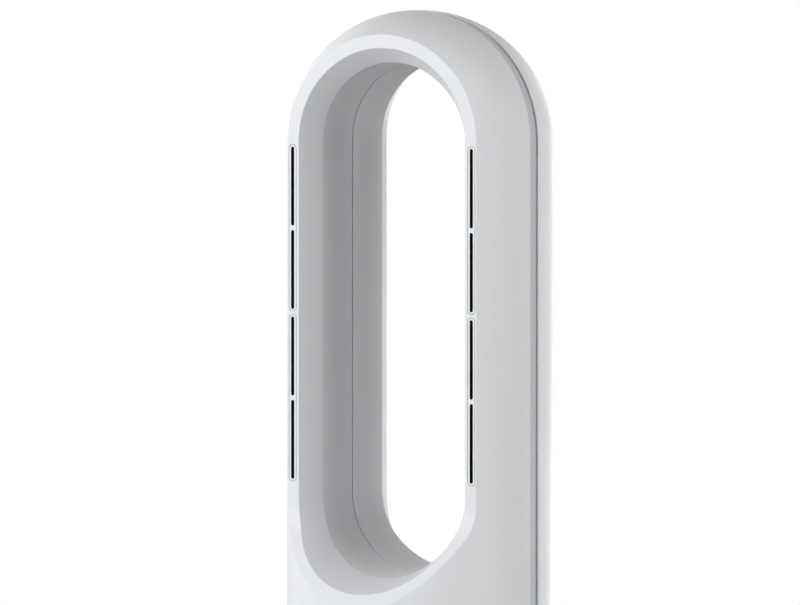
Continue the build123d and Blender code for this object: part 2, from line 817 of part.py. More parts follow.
with BuildPart() as fixed_gear:
    add(gear(fixed_teeth, 90.0, cover_top, gear_thickness))
    with BuildSketch(Plane.XY.offset(cover_top)):
        Circle(post_radius)
    extrude(amount=gear_thickness, mode=Mode.SUBTRACT)
finish(fixed_gear.part, "fixed_gear")

with BuildPart() as swing_pinion:
    add(Pos(0, drive_offset, 0) * gear(pinion_teeth, -90.0 + 180.0 / pinion_teeth, pinion_z, pinion_thickness))
    with BuildSketch(Plane.XY.offset(pinion_z)):
        with Locations((0, drive_offset)):
            Circle(motor_shaft_radius)
    extrude(amount=pinion_shaft_top - pinion_z)
finish(swing_pinion.part, "swing_pinion")

with BuildPart() as retaining_plate:
    with BuildSketch(Plane.XY.offset(post_top)):
        Circle(retainer_radius)
        Circle(wire_bore, mode=Mode.SUBTRACT)
        with PolarLocations(retainer_screw_ring, retainer_screws):
            Circle(small_screw_radius, mode=Mode.SUBTRACT)
    extrude(amount=retainer_thickness)
finish(retaining_plate.part, "retaining_plate")

with BuildPart() as retaining_screws:
    with BuildSketch(Plane.XY.offset(post_top + retainer_thickness)):
        with PolarLocations(retainer_screw_ring, retainer_screws):
            Circle(small_head_radius)
    extrude(amount=small_head_height)
    with BuildSketch(Plane.XY.offset(post_top + retainer_thickness)):
        with PolarLocations(retainer_screw_ring, retainer_screws):
            Circle(small_screw_radius)
    extrude(amount=-retainer_screw_length)
finish(retaining_screws.part, "retaining_screws")

# ---- chassis floor, its bushing and the swing motor -------------------------
bushing_bore = post_radius + running_gap
bushing_radius = bushing_bore + bushing_wall
ear_hole_x = (motor_ear_length - motor_ear_width) / 2
grille_inner = body_radius - grille_wall
floor_ring_radius = grille_inner - locating_gap
slide_rib_z = cover_top + slide_ring_height + slide_gap

with BuildPart() as chassis_floor:
    with BuildSketch(Plane.XY.offset(chassis_z)):
        Circle(body_radius)
    extrude(amount=chassis_floor_t)
    add(ring(body_radius - skirt_wall, body_radius, cover_top + skirt_gap, chassis_z))
    add(ring(slide_ring_inner, slide_ring_outer, slide_rib_z, chassis_z))
    add(
        ring(
            floor_ring_radius - locating_ring_wall,
            floor_ring_radius,
            chassis_top,
            chassis_top + locating_ring_height,
        )
    )
    with BuildSketch(Plane.XY.offset(chassis_z)):
        Circle(bushing_radius)
        with Locations((0, drive_offset)):
            Circle(motor_shaft_radius + pinion_shaft_room)
        with Locations((-ear_hole_x, drive_offset), (ear_hole_x, drive_offset)):
            Circle(small_screw_radius)
    extrude(amount=chassis_floor_t, mode=Mode.SUBTRACT)
finish(chassis_floor.part, "chassis_floor")

with BuildPart() as pivot_bushing:
    add(ring(bushing_bore, bushing_radius, chassis_z, chassis_top))
    add(ring(bushing_bore, bushing_radius + bushing_flange, chassis_top, chassis_top + bushing_flange_t))
finish(pivot_bushing.part, "pivot_bushing")

with BuildPart() as swing_motor:
    with BuildSketch(Plane.XY.offset(chassis_top)):
        with Locations((0, drive_offset)):
            Circle(motor_radius)
    extrude(amount=motor_height)
    with BuildSketch(Plane.XY.offset(chassis_top)):
        with Locations((0, drive_offset)):
            SlotOverall(motor_ear_length, motor_ear_width)
        with Locations((-ear_hole_x, drive_offset), (ear_hole_x, drive_offset)):
            Circle(small_screw_radius, mode=Mode.SUBTRACT)
    extrude(amount=motor_ear_thickness)
    with BuildSketch(Plane.XY.offset(chassis_top)):
        with Locations((0, drive_offset)):
            Circle(motor_shaft_radius + running_gap)
    extrude(amount=pinion_shaft_top - chassis_top + wall, mode=Mode.SUBTRACT)
finish(swing_motor.part, "swing_motor")

with BuildPart() as swing_motor_screws:
    with BuildSketch(Plane.XY.offset(chassis_top + motor_ear_thickness)):
        with Locations((-ear_hole_x, drive_offset), (ear_hole_x, drive_offset)):
            Circle(small_head_radius)
    extrude(amount=small_head_height)
    with BuildSketch(Plane.XY.offset(chassis_top + motor_ear_thickness)):
        with Locations((-ear_hole_x, drive_offset), (ear_hole_x, drive_offset)):
            Circle(small_screw_radius)
    extrude(amount=-motor_screw_length)
finish(swing_motor_screws.part, "swing_motor_screws")

# ---- intake grille and filter -----------------------------------------------
row_height = (grille_height - (grille_rows + 1) * grille_band) / grille_rows

with BuildPart() as intake_grille:
    add(ring(grille_inner, body_radius, grille_z, mid_plate_z))
    for row in range(grille_rows):
        row_mid = grille_z + grille_band + row_height / 2 + row * (row_height + grille_band)
        with Locations((0, 0, row_mid)):
            with PolarLocations(body_radius, grille_slots):
                Box(4 * grille_wall, grille_slot_width, row_height, mode=Mode.SUBTRACT)
finish(intake_grille.part, "intake_grille")

filter_radius = grille_inner - filter_gap
filter_z = chassis_top + locating_ring_height
finish(ring(filter_radius - filter_thickness, filter_radius, filter_z, mid_plate_z), "inlet_filter")

# ---- plate between the intake and the fan stage -----------------------------
shell_ring_radius = inner_radius - locating_gap

with BuildPart() as mid_plate:
    add(ring(bell_hole, body_radius, mid_plate_z, shell_z))
    add(
        ring(shell_ring_radius - locating_ring_wall, shell_ring_radius, shell_z, shell_z + locating_ring_height)
    )
    # the ring is cut away at the gaskets and at the shells' screw webs
    with BuildSketch(Plane.XY.offset(shell_z)):
        Rectangle(2 * reach, 2 * (groove_end + wall))
        for angle in shell_screw_angles:
            with Locations(Rotation(0, 0, angle)):
                with Locations((shell_screw_ring, 0)):
                    Rectangle(2 * shell_boss_width + 2 * wall, shell_boss_width + 2 * locating_gap)
    extrude(amount=locating_ring_height, mode=Mode.SUBTRACT)
    with BuildSketch(Plane.XY.offset(mid_plate_z)):
        for angle in shell_screw_angles:
            with Locations(Rotation(0, 0, angle)):
                with Locations((shell_screw_ring, 0)):
                    Circle(screw_radius)
    extrude(amount=mid_plate_t, mode=Mode.SUBTRACT)
finish(mid_plate.part, "mid_plate")

with BuildPart() as shell_screws:
    for radius, low, length in (
        (low_head_radius, mid_plate_z - screw_head_height, screw_head_height),
        (screw_radius, mid_plate_z, shell_screw_length),
    ):
        with BuildSketch(Plane.XY.offset(low)):
            for angle in shell_screw_angles:
                with Locations(Rotation(0, 0, angle)):
                    with Locations((shell_screw_ring, 0)):
                        Circle(radius)
        extrude(amount=length)
finish(shell_screws.part, "shell_screws")

# ---- fan stage --------------------------------------------------------------

with BuildPart() as rubber_mounts:
    with BuildSketch(Plane.XY.offset(shell_z)):
        with PolarLocations(mount_ring, mount_count):
            Circle(mount_radius)
    extrude(amount=mount_height)
finish(rubber_mounts.part, "rubber_mounts")

finish(ring(casing_inner, casing_inner + seal_wall, shell_z, casing_z), "casing_seal")

with BuildPart() as fan_casing:
    add(ring(casing_inner, casing_radius, casing_z, casing_top))
    add(ring(casing_inner, casing_flange_radius, casing_z, casing_z + casing_flange_t))
finish(fan_casing.part, "fan_casing")

bell_top = shell_z + bell_height
bellmouth = turned(
    [
        (bell_mouth, shell_z),
        (bell_flange, shell_z),
        (bell_flange, shell_z + bell_flange_t),
        (bell_mouth + bell_wall, shell_z + bell_flange_t),
        (bell_throat + 2 * bell_wall, shell_z + bell_height / 2),
        (bell_throat + bell_wall, bell_top),
        (bell_throat, bell_top),
        (bell_throat + bell_wall / 2, shell_z + bell_height / 2),
    ]
)
finish(bellmouth, "bellmouth")


def vanes(count, inner, outer, turn, thickness):
    """Curved vanes in plan, as one sketch."""
    middle = (inner + outer) / 2
    with BuildSketch() as one:
        with BuildLine():
            ThreePointArc(
                (inner, 0),
                (middle * cos(radians(vane_camber * turn)), middle * sin(radians(vane_camber * turn))),
                (outer * cos(radians(turn)), outer * sin(radians(turn))),
            )
        trace(line_width=thickness)
    with BuildSketch() as every:
        with PolarLocations(0, count):
            add(one.sketch)
    return every.sketch


waist = (hub_waist_radius, impeller_z + hub_waist_rise)
half_skin = impeller_skin / 2
shroud_top = impeller_top - shroud_drop
with BuildPart() as impeller:
    with BuildSketch(Plane.XY.offset(impeller_z)):
        add(vanes(blade_count, blade_root, impeller_tip + blade_thickness, -blade_turn, blade_thickness))
    extrude(amount=impeller_height)
    # the passage between hub and shroud trims the blades
    with BuildSketch(Plane.XZ):
        with BuildLine():
            Polyline(
                (impeller_eye, impeller_z + half_skin),
                waist,
                (impeller_rim, impeller_top - half_skin),
                (impeller_tip - passage_width / 3, impeller_top - half_skin),
                (impeller_tip - half_skin, shroud_top),
                (impeller_inlet + half_skin, impeller_z),
                (impeller_eye, impeller_z),
                close=True,
            )
        make_face()
    revolve(axis=Axis.Z, mode=Mode.INTERSECT)
    with BuildSketch(Plane.XZ):
        with BuildLine():
            Polyline(
                (shaft_radius, impeller_z),
                (impeller_eye, impeller_z),
                (waist[0], waist[1] - half_skin),
                (impeller_rim, impeller_top - impeller_skin),
                (impeller_rim, impeller_top),
                (impeller_rim - impeller_skin, impeller_top),
                (waist[0] - impeller_skin, waist[1] + half_skin),
                (impeller_eye, impeller_z + 2 * impeller_skin),
                (impeller_eye, impeller_top),
                (shaft_radius, impeller_top),
                close=True,
            )
        make_face()
    revolve(axis=Axis.Z)
    with BuildSketch(Plane.XZ):
        with BuildLine():
            Polyline(
                (impeller_inlet, impeller_z),
                (impeller_inlet + impeller_skin, impeller_z),
                (impeller_tip, shroud_top),
                (impeller_tip - impeller_skin, shroud_top),
                close=True,
            )
        make_face()
    revolve(axis=Axis.Z)
finish(impeller.part, "impeller")

with BuildPart() as motor_shaft:
    with BuildSketch(Plane.XY.offset(impeller_z - shaft_stub)):
        Circle(shaft_radius)
    extrude(amount=can_top + shaft_stub - impeller_z + shaft_stub)
finish(motor_shaft.part, "motor_shaft")

can_mid = (can_z + can_top) / 2
finish(ring(shaft_radius, magnet_radius, can_mid - magnet_height / 2, can_mid + magnet_height / 2), "rotor_magnet")
finish(ring(stator_inner, can_inner, can_mid - stator_height / 2, can_mid + stator_height / 2), "motor_stator")

bearing_spots = (can_z + can_wall, can_top - can_wall - bearing_width)
with BuildPart() as motor_bearings:
    for low in bearing_spots:
        add(ring(shaft_radius + running_gap, bearing_radius, low, low + bearing_width))
finish(motor_bearings.part, "motor_bearings")

with BuildPart() as motor_can:
    add(ring(can_inner, can_radius, can_z, can_top))
    add(ring(bearing_radius - can_wall, can_radius, can_z, can_z + can_wall))
    add(ring(bearing_radius - can_wall, can_radius, can_top - can_wall, can_top))
    for low in bearing_spots:
        add(ring(bearing_radius, bearing_radius + can_wall, low, low + bearing_width))
finish(motor_can.part, "motor_can")

with BuildPart() as diffuser:
    with BuildSketch(Plane.XY.offset(can_z)):
        add(vanes(vane_count, hub_inner + diffuser_wall / 2, casing_inner + wall, vane_turn, vane_thickness))
    extrude(amount=vane_height)
    with BuildSketch(Plane.XY.offset(can_z)):
        Circle(casing_inner)
    extrude(amount=vane_height, mode=Mode.INTERSECT)
    add(ring(bearing_radius - can_wall, diffuser_hub, diffuser_z, can_z))
    add(ring(hub_inner, diffuser_hub, can_z, casing_top))
finish(diffuser.part, "diffuser")

# ---- plenum under the arms --------------------------------------------------

def plenum_form(inset, foot_radius_out, low, high):
    """The plenum's form, drawn in by its wall for the inside."""
    form = turned(
        [
            (0, low),
            (foot_radius_out, low),
            (plenum_radius - inset, low + plenum_cone),
            (plenum_radius - inset, high),
            (0, high),
        ]
    )
    return form & slab(inset - plenum_flat, plenum_flat - inset)


duct_mid_x = (duct_inner_x + duct_outer_x) / 2
with BuildPart() as plenum:
    add(plenum_form(0.0, casing_radius, plenum_z, plenum_top))
    add(plenum_form(plenum_wall, casing_inner, plenum_z, plenum_top - plenum_lid), mode=Mode.SUBTRACT)
    with BuildSketch(Plane.XY.offset(plenum_top)):
        with Locations((-duct_mid_x, 0), (duct_mid_x, 0)):
            Rectangle(duct_outer_x - duct_inner_x - 2 * duct_wall, 2 * (duct_half_depth - duct_wall))
    extrude(amount=-plenum_lid, mode=Mode.SUBTRACT)
finish(plenum.part, "plenum")

divider_top = plenum_top - plenum_lid
divider_half_width = duct_inner_x - divider_inset
with BuildPart() as flow_divider:
    with BuildSketch(Plane.XZ.offset(-divider_half_depth)):
        with BuildLine():
            Line((-divider_half_width, divider_top), (divider_half_width, divider_top))
            ThreePointArc(
                (divider_half_width, divider_top),
                (divider_waist, divider_top - divider_height / 2),
                (0, divider_top - divider_height),
            )
            ThreePointArc(
                (0, divider_top - divider_height),
                (-divider_waist, divider_top - divider_height / 2),
                (-divider_half_width, divider_top),
            )
        make_face()
        offset(amount=-divider_wall, mode=Mode.SUBTRACT)
    extrude(amount=2 * divider_half_depth)
finish(flow_divider.part, "flow_divider")

# ---- controls ---------------------------------------------------------------
button_heights = [panel_z + button_lift - i * button_pitch for i in range(4)]
window_z = panel_z + window_lift
shoulder = panel_back + button_shoulder
button_seat = shoulder - slide_gap
button_back = button_seat - button_flange_t
post_x = display_board_width / 2 - board_post_radius - board_post_edge
post_z = display_board_length / 2 - board_post_radius - board_post_edge


def inside_round(radius):
    """Upright cylinder that gives a fitting the tower's own curve."""
    with BuildPart() as piece:
        with BuildSketch(Plane.XY.offset(panel_z - reach)):
            Circle(radius)
        extrude(amount=2 * reach)
    return piece.part


with BuildPart() as control_panel:
    add(
        band_slot(0, panel_z, panel_length - 2 * panel_gap, panel_width - 2 * panel_gap, reach, reach - panel_back)
        & inside_round(body_radius)
    )
    grown = 2 * (panel_flange - panel_gap)
    add(band_slot(0, panel_z, panel_length + grown, panel_width + grown, panel_back, panel_flange_t))
    with BuildSketch(Plane.XZ.offset(flange_back)):
        with Locations((0, panel_z)):
            with GridLocations(2 * post_x, 2 * post_z, 2, 2):
                Circle(board_post_radius)
    extrude(amount=-(flange_back - board_front))
    with BuildSketch(Plane.XZ.offset(flange_back)):
        with Locations(*[(0, z) for z in button_heights]):
            Circle(button_radius + button_gap)
    extrude(amount=reach - flange_back, mode=Mode.SUBTRACT)
    with BuildSketch(Plane.XZ.offset(flange_back)):
        with Locations(*[(0, z) for z in button_heights]):
            Circle(button_radius + button_flange + button_gap)
    extrude(amount=shoulder - flange_back, mode=Mode.SUBTRACT)
    with BuildSketch(Plane.XZ.offset(body_radius - window_depth)):
        with Locations((0, window_z)):
            RectangleRounded(window_width, window_height, window_corner)
    extrude(amount=reach, mode=Mode.SUBTRACT)
finish(control_panel.part, "control_panel")

with BuildPart() as display_window:
    with BuildSketch(Plane.XZ.offset(body_radius - window_depth)):
        with Locations((0, window_z)):
            RectangleRounded(
                window_width - 2 * panel_gap, window_height - 2 * panel_gap, window_corner - panel_gap
            )
    extrude(amount=reach - body_radius + window_depth)
    add(inside_round(body_radius - window_sink), mode=Mode.INTERSECT)
finish(display_window.part, "display_window")


def button(z):
    """Round cap with a retaining flange and a short stem towards its switch."""
    with BuildPart() as piece:
        with BuildSketch(Plane.XZ.offset(button_seat)):
            with Locations((0, z)):
                Circle(button_radius)
        extrude(amount=body_radius + button_proud - button_seat)
        fillet(piece.edges().sort_by(Axis.Y)[0], button_proud)
        with BuildSketch(Plane.XZ.offset(button_back)):
            with Locations((0, z)):
                Circle(button_radius + button_flange)
        extrude(amount=button_flange_t)
        with BuildSketch(Plane.XZ.offset(stem_end)):
            with Locations((0, z)):
                Circle(button_stem_radius)
        extrude(amount=button_back - stem_end)
    return piece.part


for name, z in zip(("button_power", "button_slower", "button_faster", "button_swing"), button_heights):
    finish(button(z), name)

with BuildPart() as display_board:
    with BuildSketch(Plane.XZ.offset(board_front)):
        with Locations((0, panel_z)):
            Rectangle(display_board_width, display_board_length)
    extrude(amount=-board_thickness)
    with BuildSketch(Plane.XZ.offset(board_front)):
        with Locations(*[(0, z) for z in button_heights]):
            Rectangle(switch_size, switch_size)
    extrude(amount=switch_height)
    with BuildSketch(Plane.XZ.offset(board_front)):
        with Locations((0, window_z)):
            Rectangle(window_width - display_edge, window_height - display_edge)
    extrude(amount=chip_height)
finish(display_board.part, "display_board")

main_board_z = shell_z + main_board_lift + main_board_length / 2
with BuildPart() as main_board:
    with BuildSketch(Plane.XZ.offset(-main_board_y)):
        with Locations((0, main_board_z)):
            Rectangle(main_board_width, main_board_length)
    extrude(amount=-board_thickness)
    with BuildSketch(Plane.XZ.offset(-main_board_y)):
        with Locations((0, main_board_z)):
            with GridLocations(chip_pitch, chip_rows, 2, 2):
                Rectangle(chip_size, chip_size)
    extrude(amount=chip_height)
    with BuildSketch(Plane.XZ.offset(-main_board_y)):
        with Locations((0, main_board_z + board_boss_z - capacitor_radius)):
            with GridLocations(3 * capacitor_radius, 0, 3, 1):
                Circle(capacitor_radius)
    extrude(amount=capacitor_height)
finish(main_board.part, "main_board")
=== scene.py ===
# %% [markdown]
# # A bladeless tower fan in satin white plastic
# The construction already exists as a fixed frame of separate solids, in metres, with
# the front at -Y. This lesson gives that frame its looks. It starts by loading the
# frame.

# %% Load the fixed frame
import bmesh
import bpy
import numpy as np
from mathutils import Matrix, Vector


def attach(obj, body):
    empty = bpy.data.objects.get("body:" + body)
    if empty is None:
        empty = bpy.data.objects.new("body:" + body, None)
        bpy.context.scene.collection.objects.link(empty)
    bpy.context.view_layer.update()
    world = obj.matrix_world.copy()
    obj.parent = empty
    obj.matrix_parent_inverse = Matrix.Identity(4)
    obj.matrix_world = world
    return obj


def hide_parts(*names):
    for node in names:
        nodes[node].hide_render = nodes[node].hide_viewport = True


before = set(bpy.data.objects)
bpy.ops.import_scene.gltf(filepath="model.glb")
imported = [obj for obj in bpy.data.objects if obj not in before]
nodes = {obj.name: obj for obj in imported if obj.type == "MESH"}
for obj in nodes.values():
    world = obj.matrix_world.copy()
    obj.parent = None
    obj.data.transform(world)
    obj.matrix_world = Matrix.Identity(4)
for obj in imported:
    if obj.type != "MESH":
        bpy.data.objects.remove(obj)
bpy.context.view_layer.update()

# %% [markdown]
# ## Camera first
# The picture looks at the loop from 28 degrees to its right and 2 degrees above, and
# from far away: upright lines stay parallel. A very long lens far off does the same. The
# frame of the picture is 800 by 605, and one of its pixels is 0.8455 mm on the fan.

# %% The camera
aim = Vector((-0.01275, -0.00688, 0.6927))
sight = Vector((-0.475, 0.879, -0.0366)).normalized()
lens, sensor = 600.0, 36.0           # millimetres
width_seen = 0.6764                  # metres across the picture, at the fan
camera = bpy.data.objects.new("camera", bpy.data.cameras.new("camera"))
camera.data.lens = lens
camera.data.sensor_width = sensor
camera.data.clip_end = 100.0
camera.location = aim - sight * (width_seen * lens / sensor)
camera.rotation_euler = sight.to_track_quat("-Z", "Y").to_euler()
bpy.context.scene.collection.objects.link(camera)
bpy.context.scene.camera = camera
bpy.context.scene.view_settings.view_transform = "Standard"
print(f"camera {(camera.location - aim).length:.2f} m away")

# %% [markdown]
# ## Sheets: how every new piece is made
# A moulded shell is a few smooth surfaces that run into each other. Here each of them
# is a sheet: a grid of points worked out by a formula of two parameters. A sheet also
# knows which way its surface faces at each point, from the grid itself, so that thin
# rounded edges shade as cleanly as on a real moulding. Sheets that share an edge are
# welded into one closed piece.

# %% Sheets
TINY = 1e-12                         # keeps a step of no length from dividing by zero


def sheet(grid, ring=False, normals=None, keep=None, finish=0):
    """One sheet from an (n, m, 3) grid in millimetres. Its normal is the cross product
    of the steps along rows and columns, except where normals gives one. ring says that
    the last row is the first one again, keep which faces stay, finish their material."""
    grid = np.asarray(grid, float)
    if ring:
        along = np.gradient(np.concatenate([grid[-2:-1], grid, grid[1:2]]), axis=0)[1:-1]
    else:
        along = np.gradient(grid, axis=0)
    own = np.cross(along, np.gradient(grid, axis=1))
    own /= np.maximum(np.linalg.norm(own, axis=2, keepdims=True), TINY)
    if normals is not None:
        given = ~np.isnan(normals)
        turned = np.sign(np.nansum(normals * own)) or 1.0
        own = np.where(given, normals * turned, own)
    if keep is None:
        keep = np.ones((grid.shape[0] - 1, grid.shape[1] - 1), bool)
    return {"grid": grid, "own": own, "keep": keep, "finish": finish}


print("sheets: a grid, its normals, the faces kept and their finish")

# %% [markdown]
# ### From sheets to a piece
# Blender could work the shading out again from the welded mesh, but on a moulding with
# edges of half a millimetre that leaves smudges. So each face keeps the normals of the
# sheet that it came from, as custom normals, and only the points are welded.

# %% Pieces
MM = 0.001
WELD = 2e-6                          # metres within which points of two sheets are one


def piece(name, sheets, materials, body, stands_for=()):
    """Weld sheets into one mesh, turn its faces outwards and give every corner of a face
    the normal of its own sheet, so smooth joints stay smooth and sharp ones sharp. The
    piece moves with a body, gets its materials and may stand for solids of the frame."""
    points, quads, shades, finishes, first = [], [], [], [], 0
    for s in sheets:
        n, m = s["grid"].shape[:2]
        index = first + np.arange(n * m).reshape(n, m)
        corners = [index[:-1, :-1], index[1:, :-1], index[1:, 1:], index[:-1, 1:]]
        quad = np.stack(corners, axis=-1)[s["keep"]]
        points.append(s["grid"].reshape(-1, 3) * MM)
        quads.append(quad)
        shades.append(s["own"].reshape(-1, 3)[quad - first])
        finishes.append(np.broadcast_to(s["finish"], s["keep"].shape)[s["keep"]])
        first += n * m
    points, quads, shades = (np.concatenate(a) for a in (points, quads, shades))
    mesh = bpy.data.meshes.new(name)
    mesh.from_pydata(points.tolist(), [], quads.tolist())
    kept = mesh.attributes.new("shade", "FLOAT_VECTOR", "CORNER")
    kept.data.foreach_set("vector", shades.ravel())
    mesh.polygons.foreach_set("material_index", np.concatenate(finishes))
    bm = bmesh.new()
    bm.from_mesh(mesh)
    bmesh.ops.remove_doubles(bm, verts=bm.verts, dist=WELD)
    bmesh.ops.recalc_face_normals(bm, faces=bm.faces)
    gaps = sum(e.is_boundary for e in bm.edges)
    bm.to_mesh(mesh)
    bm.free()
    shade = np.empty(len(mesh.loops) * 3, np.float32)
    mesh.attributes["shade"].data.foreach_get("vector", shade)
    shade = shade.reshape(-1, 3)
    facing = np.empty(len(mesh.polygons) * 3, np.float32)
    mesh.polygons.foreach_get("normal", facing)
    sizes = np.empty(len(mesh.polygons), np.int32)
    mesh.polygons.foreach_get("loop_total", sizes)
    facing = np.repeat(facing.reshape(-1, 3), sizes, axis=0)
    shade *= np.where((shade * facing).sum(1, keepdims=True) < 0, -1, 1)
    mesh.attributes.remove(mesh.attributes["shade"])
    mesh.shade_smooth()
    mesh.normals_split_custom_set(shade.tolist())
    for material in materials:
        mesh.materials.append(material)
    made = bpy.data.objects.new(name, mesh)
    bpy.context.scene.collection.objects.link(made)
    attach(made, body)
    if stands_for:
        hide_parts(*stands_for)
    print(f"{name}: {len(mesh.polygons)} faces, {gaps} open edges")


print(f"a piece: sheets welded where points lie within {WELD} m")

# %% [markdown]
# ### Straights and soft corners
# A moulding's section is a chain of straights with a soft corner between them. Both are
# worked out for a whole row of sections at once.

# %% Straights and soft corners
SOFT = 5                             # grid steps of a soft corner


def straight(start, end, steps):
    """Points on the straight from start to end, ends included."""
    t = np.linspace(0, 1, steps + 1)[:, None]
    return start[..., None, :] * (1 - t) + end[..., None, :] * t


def rounded(before, corner, after, steps=SOFT):
    """A soft corner: (1-t)^2 before + 2t(1-t) corner + t^2 after."""
    t = np.linspace(0, 1, steps + 1)[:, None]
    before, corner, after = (point[..., None, :] for point in (before, corner, after))
    return (1 - t) ** 2 * before + 2 * t * (1 - t) * corner + t**2 * after


print(f"a soft corner has {SOFT} steps")

# %% [markdown]
# ## Finishes
# Satin white plastic is never one flat white. The mould is spark eroded, which leaves a
# grain of about a quarter of a millimetre; the polymer is a touch uneven in tone; and
# handling polishes it here and there. All of that is small, so every plastic below is
# one colour with a very fine bump and slow, faint changes in tone and gloss. The noise
# reads object coordinates, in metres, so it stays on the fan when the camera moves.

# %% How a moulded plastic is made
NOISE_LOW, NOISE_HIGH = 0.3, 0.7     # the range that a noise really fills
WEAR = 0.03                          # how far the roughness strays
BUMP = 0.6                           # strength of the grain
WIDER = 3                            # how much wider the polish changes than the tone
TONE_DETAIL, POLISH_DETAIL, GRAIN_DETAIL = 3.0, 4.0, 2.0   # finer octaves in each noise


def moulded(name, colour, gloss, grain=0.25, depth=0.00001, tone=0.012, patch=55.0, shine=0.5):
    """Material of a moulded plastic: colour, roughness, grain size in mm and its depth in
    m, the share by which its tone strays, in patches of 1/patch m, and shine, the
    strength of its reflections, 0.5 for a bare polished plastic."""
    material = bpy.data.materials.new(name)
    material.use_nodes = True
    tree = material.node_tree
    skin = tree.nodes["Principled BSDF"]
    skin.inputs["Specular IOR Level"].default_value = shine
    place = tree.nodes.new("ShaderNodeTexCoord")

    def noise(scale, detail):
        node = tree.nodes.new("ShaderNodeTexNoise")
        node.inputs["Scale"].default_value = scale
        node.inputs["Detail"].default_value = detail
        tree.links.new(place.outputs["Object"], node.inputs["Vector"])
        return node.outputs["Fac"]

    def spread(value, low, high):
        node = tree.nodes.new("ShaderNodeMapRange")
        node.inputs["From Min"].default_value = NOISE_LOW
        node.inputs["From Max"].default_value = NOISE_HIGH
        node.inputs["To Min"].default_value = low
        node.inputs["To Max"].default_value = high
        tree.links.new(value, node.inputs["Value"])
        return node.outputs["Result"]

    shade = tree.nodes.new("ShaderNodeMix")
    shade.data_type = "RGBA"
    shade.inputs["A"].default_value = (*[c * (1 - tone) for c in colour], 1)
    shade.inputs["B"].default_value = (*[min(1, c * (1 + tone)) for c in colour], 1)
    tree.links.new(noise(patch, TONE_DETAIL), shade.inputs["Factor"])
    tree.links.new(shade.outputs["Result"], skin.inputs["Base Color"])
    polish = spread(noise(patch / WIDER, POLISH_DETAIL), gloss - WEAR, gloss + WEAR)
    tree.links.new(polish, skin.inputs["Roughness"])
    bump = tree.nodes.new("ShaderNodeBump")
    bump.inputs["Strength"].default_value = BUMP
    bump.inputs["Distance"].default_value = depth
    waves = 1 / MM / grain / 2       # per metre, and a grain is half a wave
    tree.links.new(noise(waves, GRAIN_DETAIL), bump.inputs["Height"])
    tree.links.new(bump.outputs["Normal"], skin.inputs["Normal"])
    return material


print("a moulded plastic: grain, tone and polish from three noises")

# %% [markdown]
# ### The plastics of this fan
# The shells and the inserts are the same white with little shine. The gasket in the groove
# is grey, and the facet beside it is painted grey as shade; in the picture the two make a
# soft dark line. Nearly black and dull is painted shadow in the slots, the pockets and on
# the inserts' walls, and it is also the finish of the frame's black plastic.

# %% Plastics
shell_white = moulded("shell_white", (0.83, 0.835, 0.845), 0.44, shine=0.25)
# painted shade: the grey of the facet beside the groove
painted_seam_shade = moulded("painted_seam_shade", (0.56, 0.565, 0.575), 0.44, shine=0.25)
insert_white = moulded("insert_white", (0.83, 0.835, 0.845), 0.40, shine=0.25)
panel_white = moulded("panel_white", (0.76, 0.765, 0.775), 0.34)
button_white = moulded("button_white", (0.78, 0.785, 0.79), 0.26, depth=0.000005)
grille_white = moulded("grille_white", (0.77, 0.775, 0.785), 0.5, depth=0.00002)
trim_grey = moulded("trim_grey", (0.36, 0.365, 0.375), 0.5)
gasket_grey = moulded("gasket_grey", (0.42, 0.425, 0.43), 0.6)
base_white = moulded("base_white", (0.72, 0.725, 0.735), 0.5, depth=0.00002)
# black for the frame's black plastic, and painted shadow in slots, pockets and round the
# inserts
black_and_painted_shade = moulded("black_and_painted_shade", (0.006, 0.006, 0.0065), 0.8, shine=0.15)
rubber_dark = moulded(
    "rubber_dark", (0.035, 0.035, 0.037), 0.8, grain=0.6, depth=0.00004, tone=0.1
)
print("plastics ready")

# %% [markdown]
# ## The two shells
# On the real fan the loop and the column under it are two injection-moulded halves, a
# front and a rear one, that meet in a groove. They could be carved with booleans from a
# capsule, but the light on them has to run without a break from the flat band, over its
# edge and round the side, so they are drawn from their sections instead.
#
# Walk round the opening: up the right arm, over the top, down the left arm and back
# underneath. At every step the section is the same kind of line: out of the opening,
# over the crease into the flare, round the rim onto the flat band, round its edge and
# back along the round side to the seam. Only underneath does the band lean forward, so
# there its depth is a function of height.

# %% Sizes of the shells, in millimetres
BODY, BORE = 110.0, 66.4             # outside of the tower, half width of the opening
FOOT = 232.0                         # height at which the shells start
LOW, HIGH = 530.0, 830.0             # centres of the opening's round ends
SWEEP_END = 437.7                    # foot of the band where it leans forward
LEAN, BEND = np.radians(33.3), 50.0  # its lean, and the radius of the bend above it
FOLLOW = 0.37                        # how much the crease follows the leaning band

# Depths count from the axis towards the half's own face. crease and rim are radii, deep
# is the depth of the flare between them and band the width of the band. seam holds the
# depths at which the half ends, outside and in the opening. ease says how far the side
# draws in at the groove and over what length, and fuller how far the corners swell out.
# over and under change crease, rim and deep over the top and underneath.
FRONT = {
    "side": -1, "crease": 67.9, "rim": 79.7, "deep": 21.8, "band": 10.472,
    "seam": (-9.6, -7.0), "ease": (1.2, 13.0), "fuller": 0.0,
    "over": (-1.5, -0.8, -2.8), "under": (0.0, 0.0, 0.0),
}
REAR = {
    "side": 1, "crease": BORE, "rim": 70.9, "deep": 16.7, "band": 7.656,
    "seam": (11.4, 8.2), "ease": (0.3, 1.2), "fuller": 6.0,
    "over": (0.0, 2.0, 0.0), "under": (0.0, 6.6, -3.6),
}
for half in (FRONT, REAR):
    half["face"] = np.sqrt(BODY**2 - (half["rim"] + half["band"]) ** 2)
    print(f"band {half['face']:.2f} mm from the axis")

# %% [markdown]
# ### The walk
# The grid's steps up the arms aren't even: they are closer at the ends of the inserts,
# because the pockets for them have to share the grid's points. So the sizes of the
# inserts come first, and then the walk.

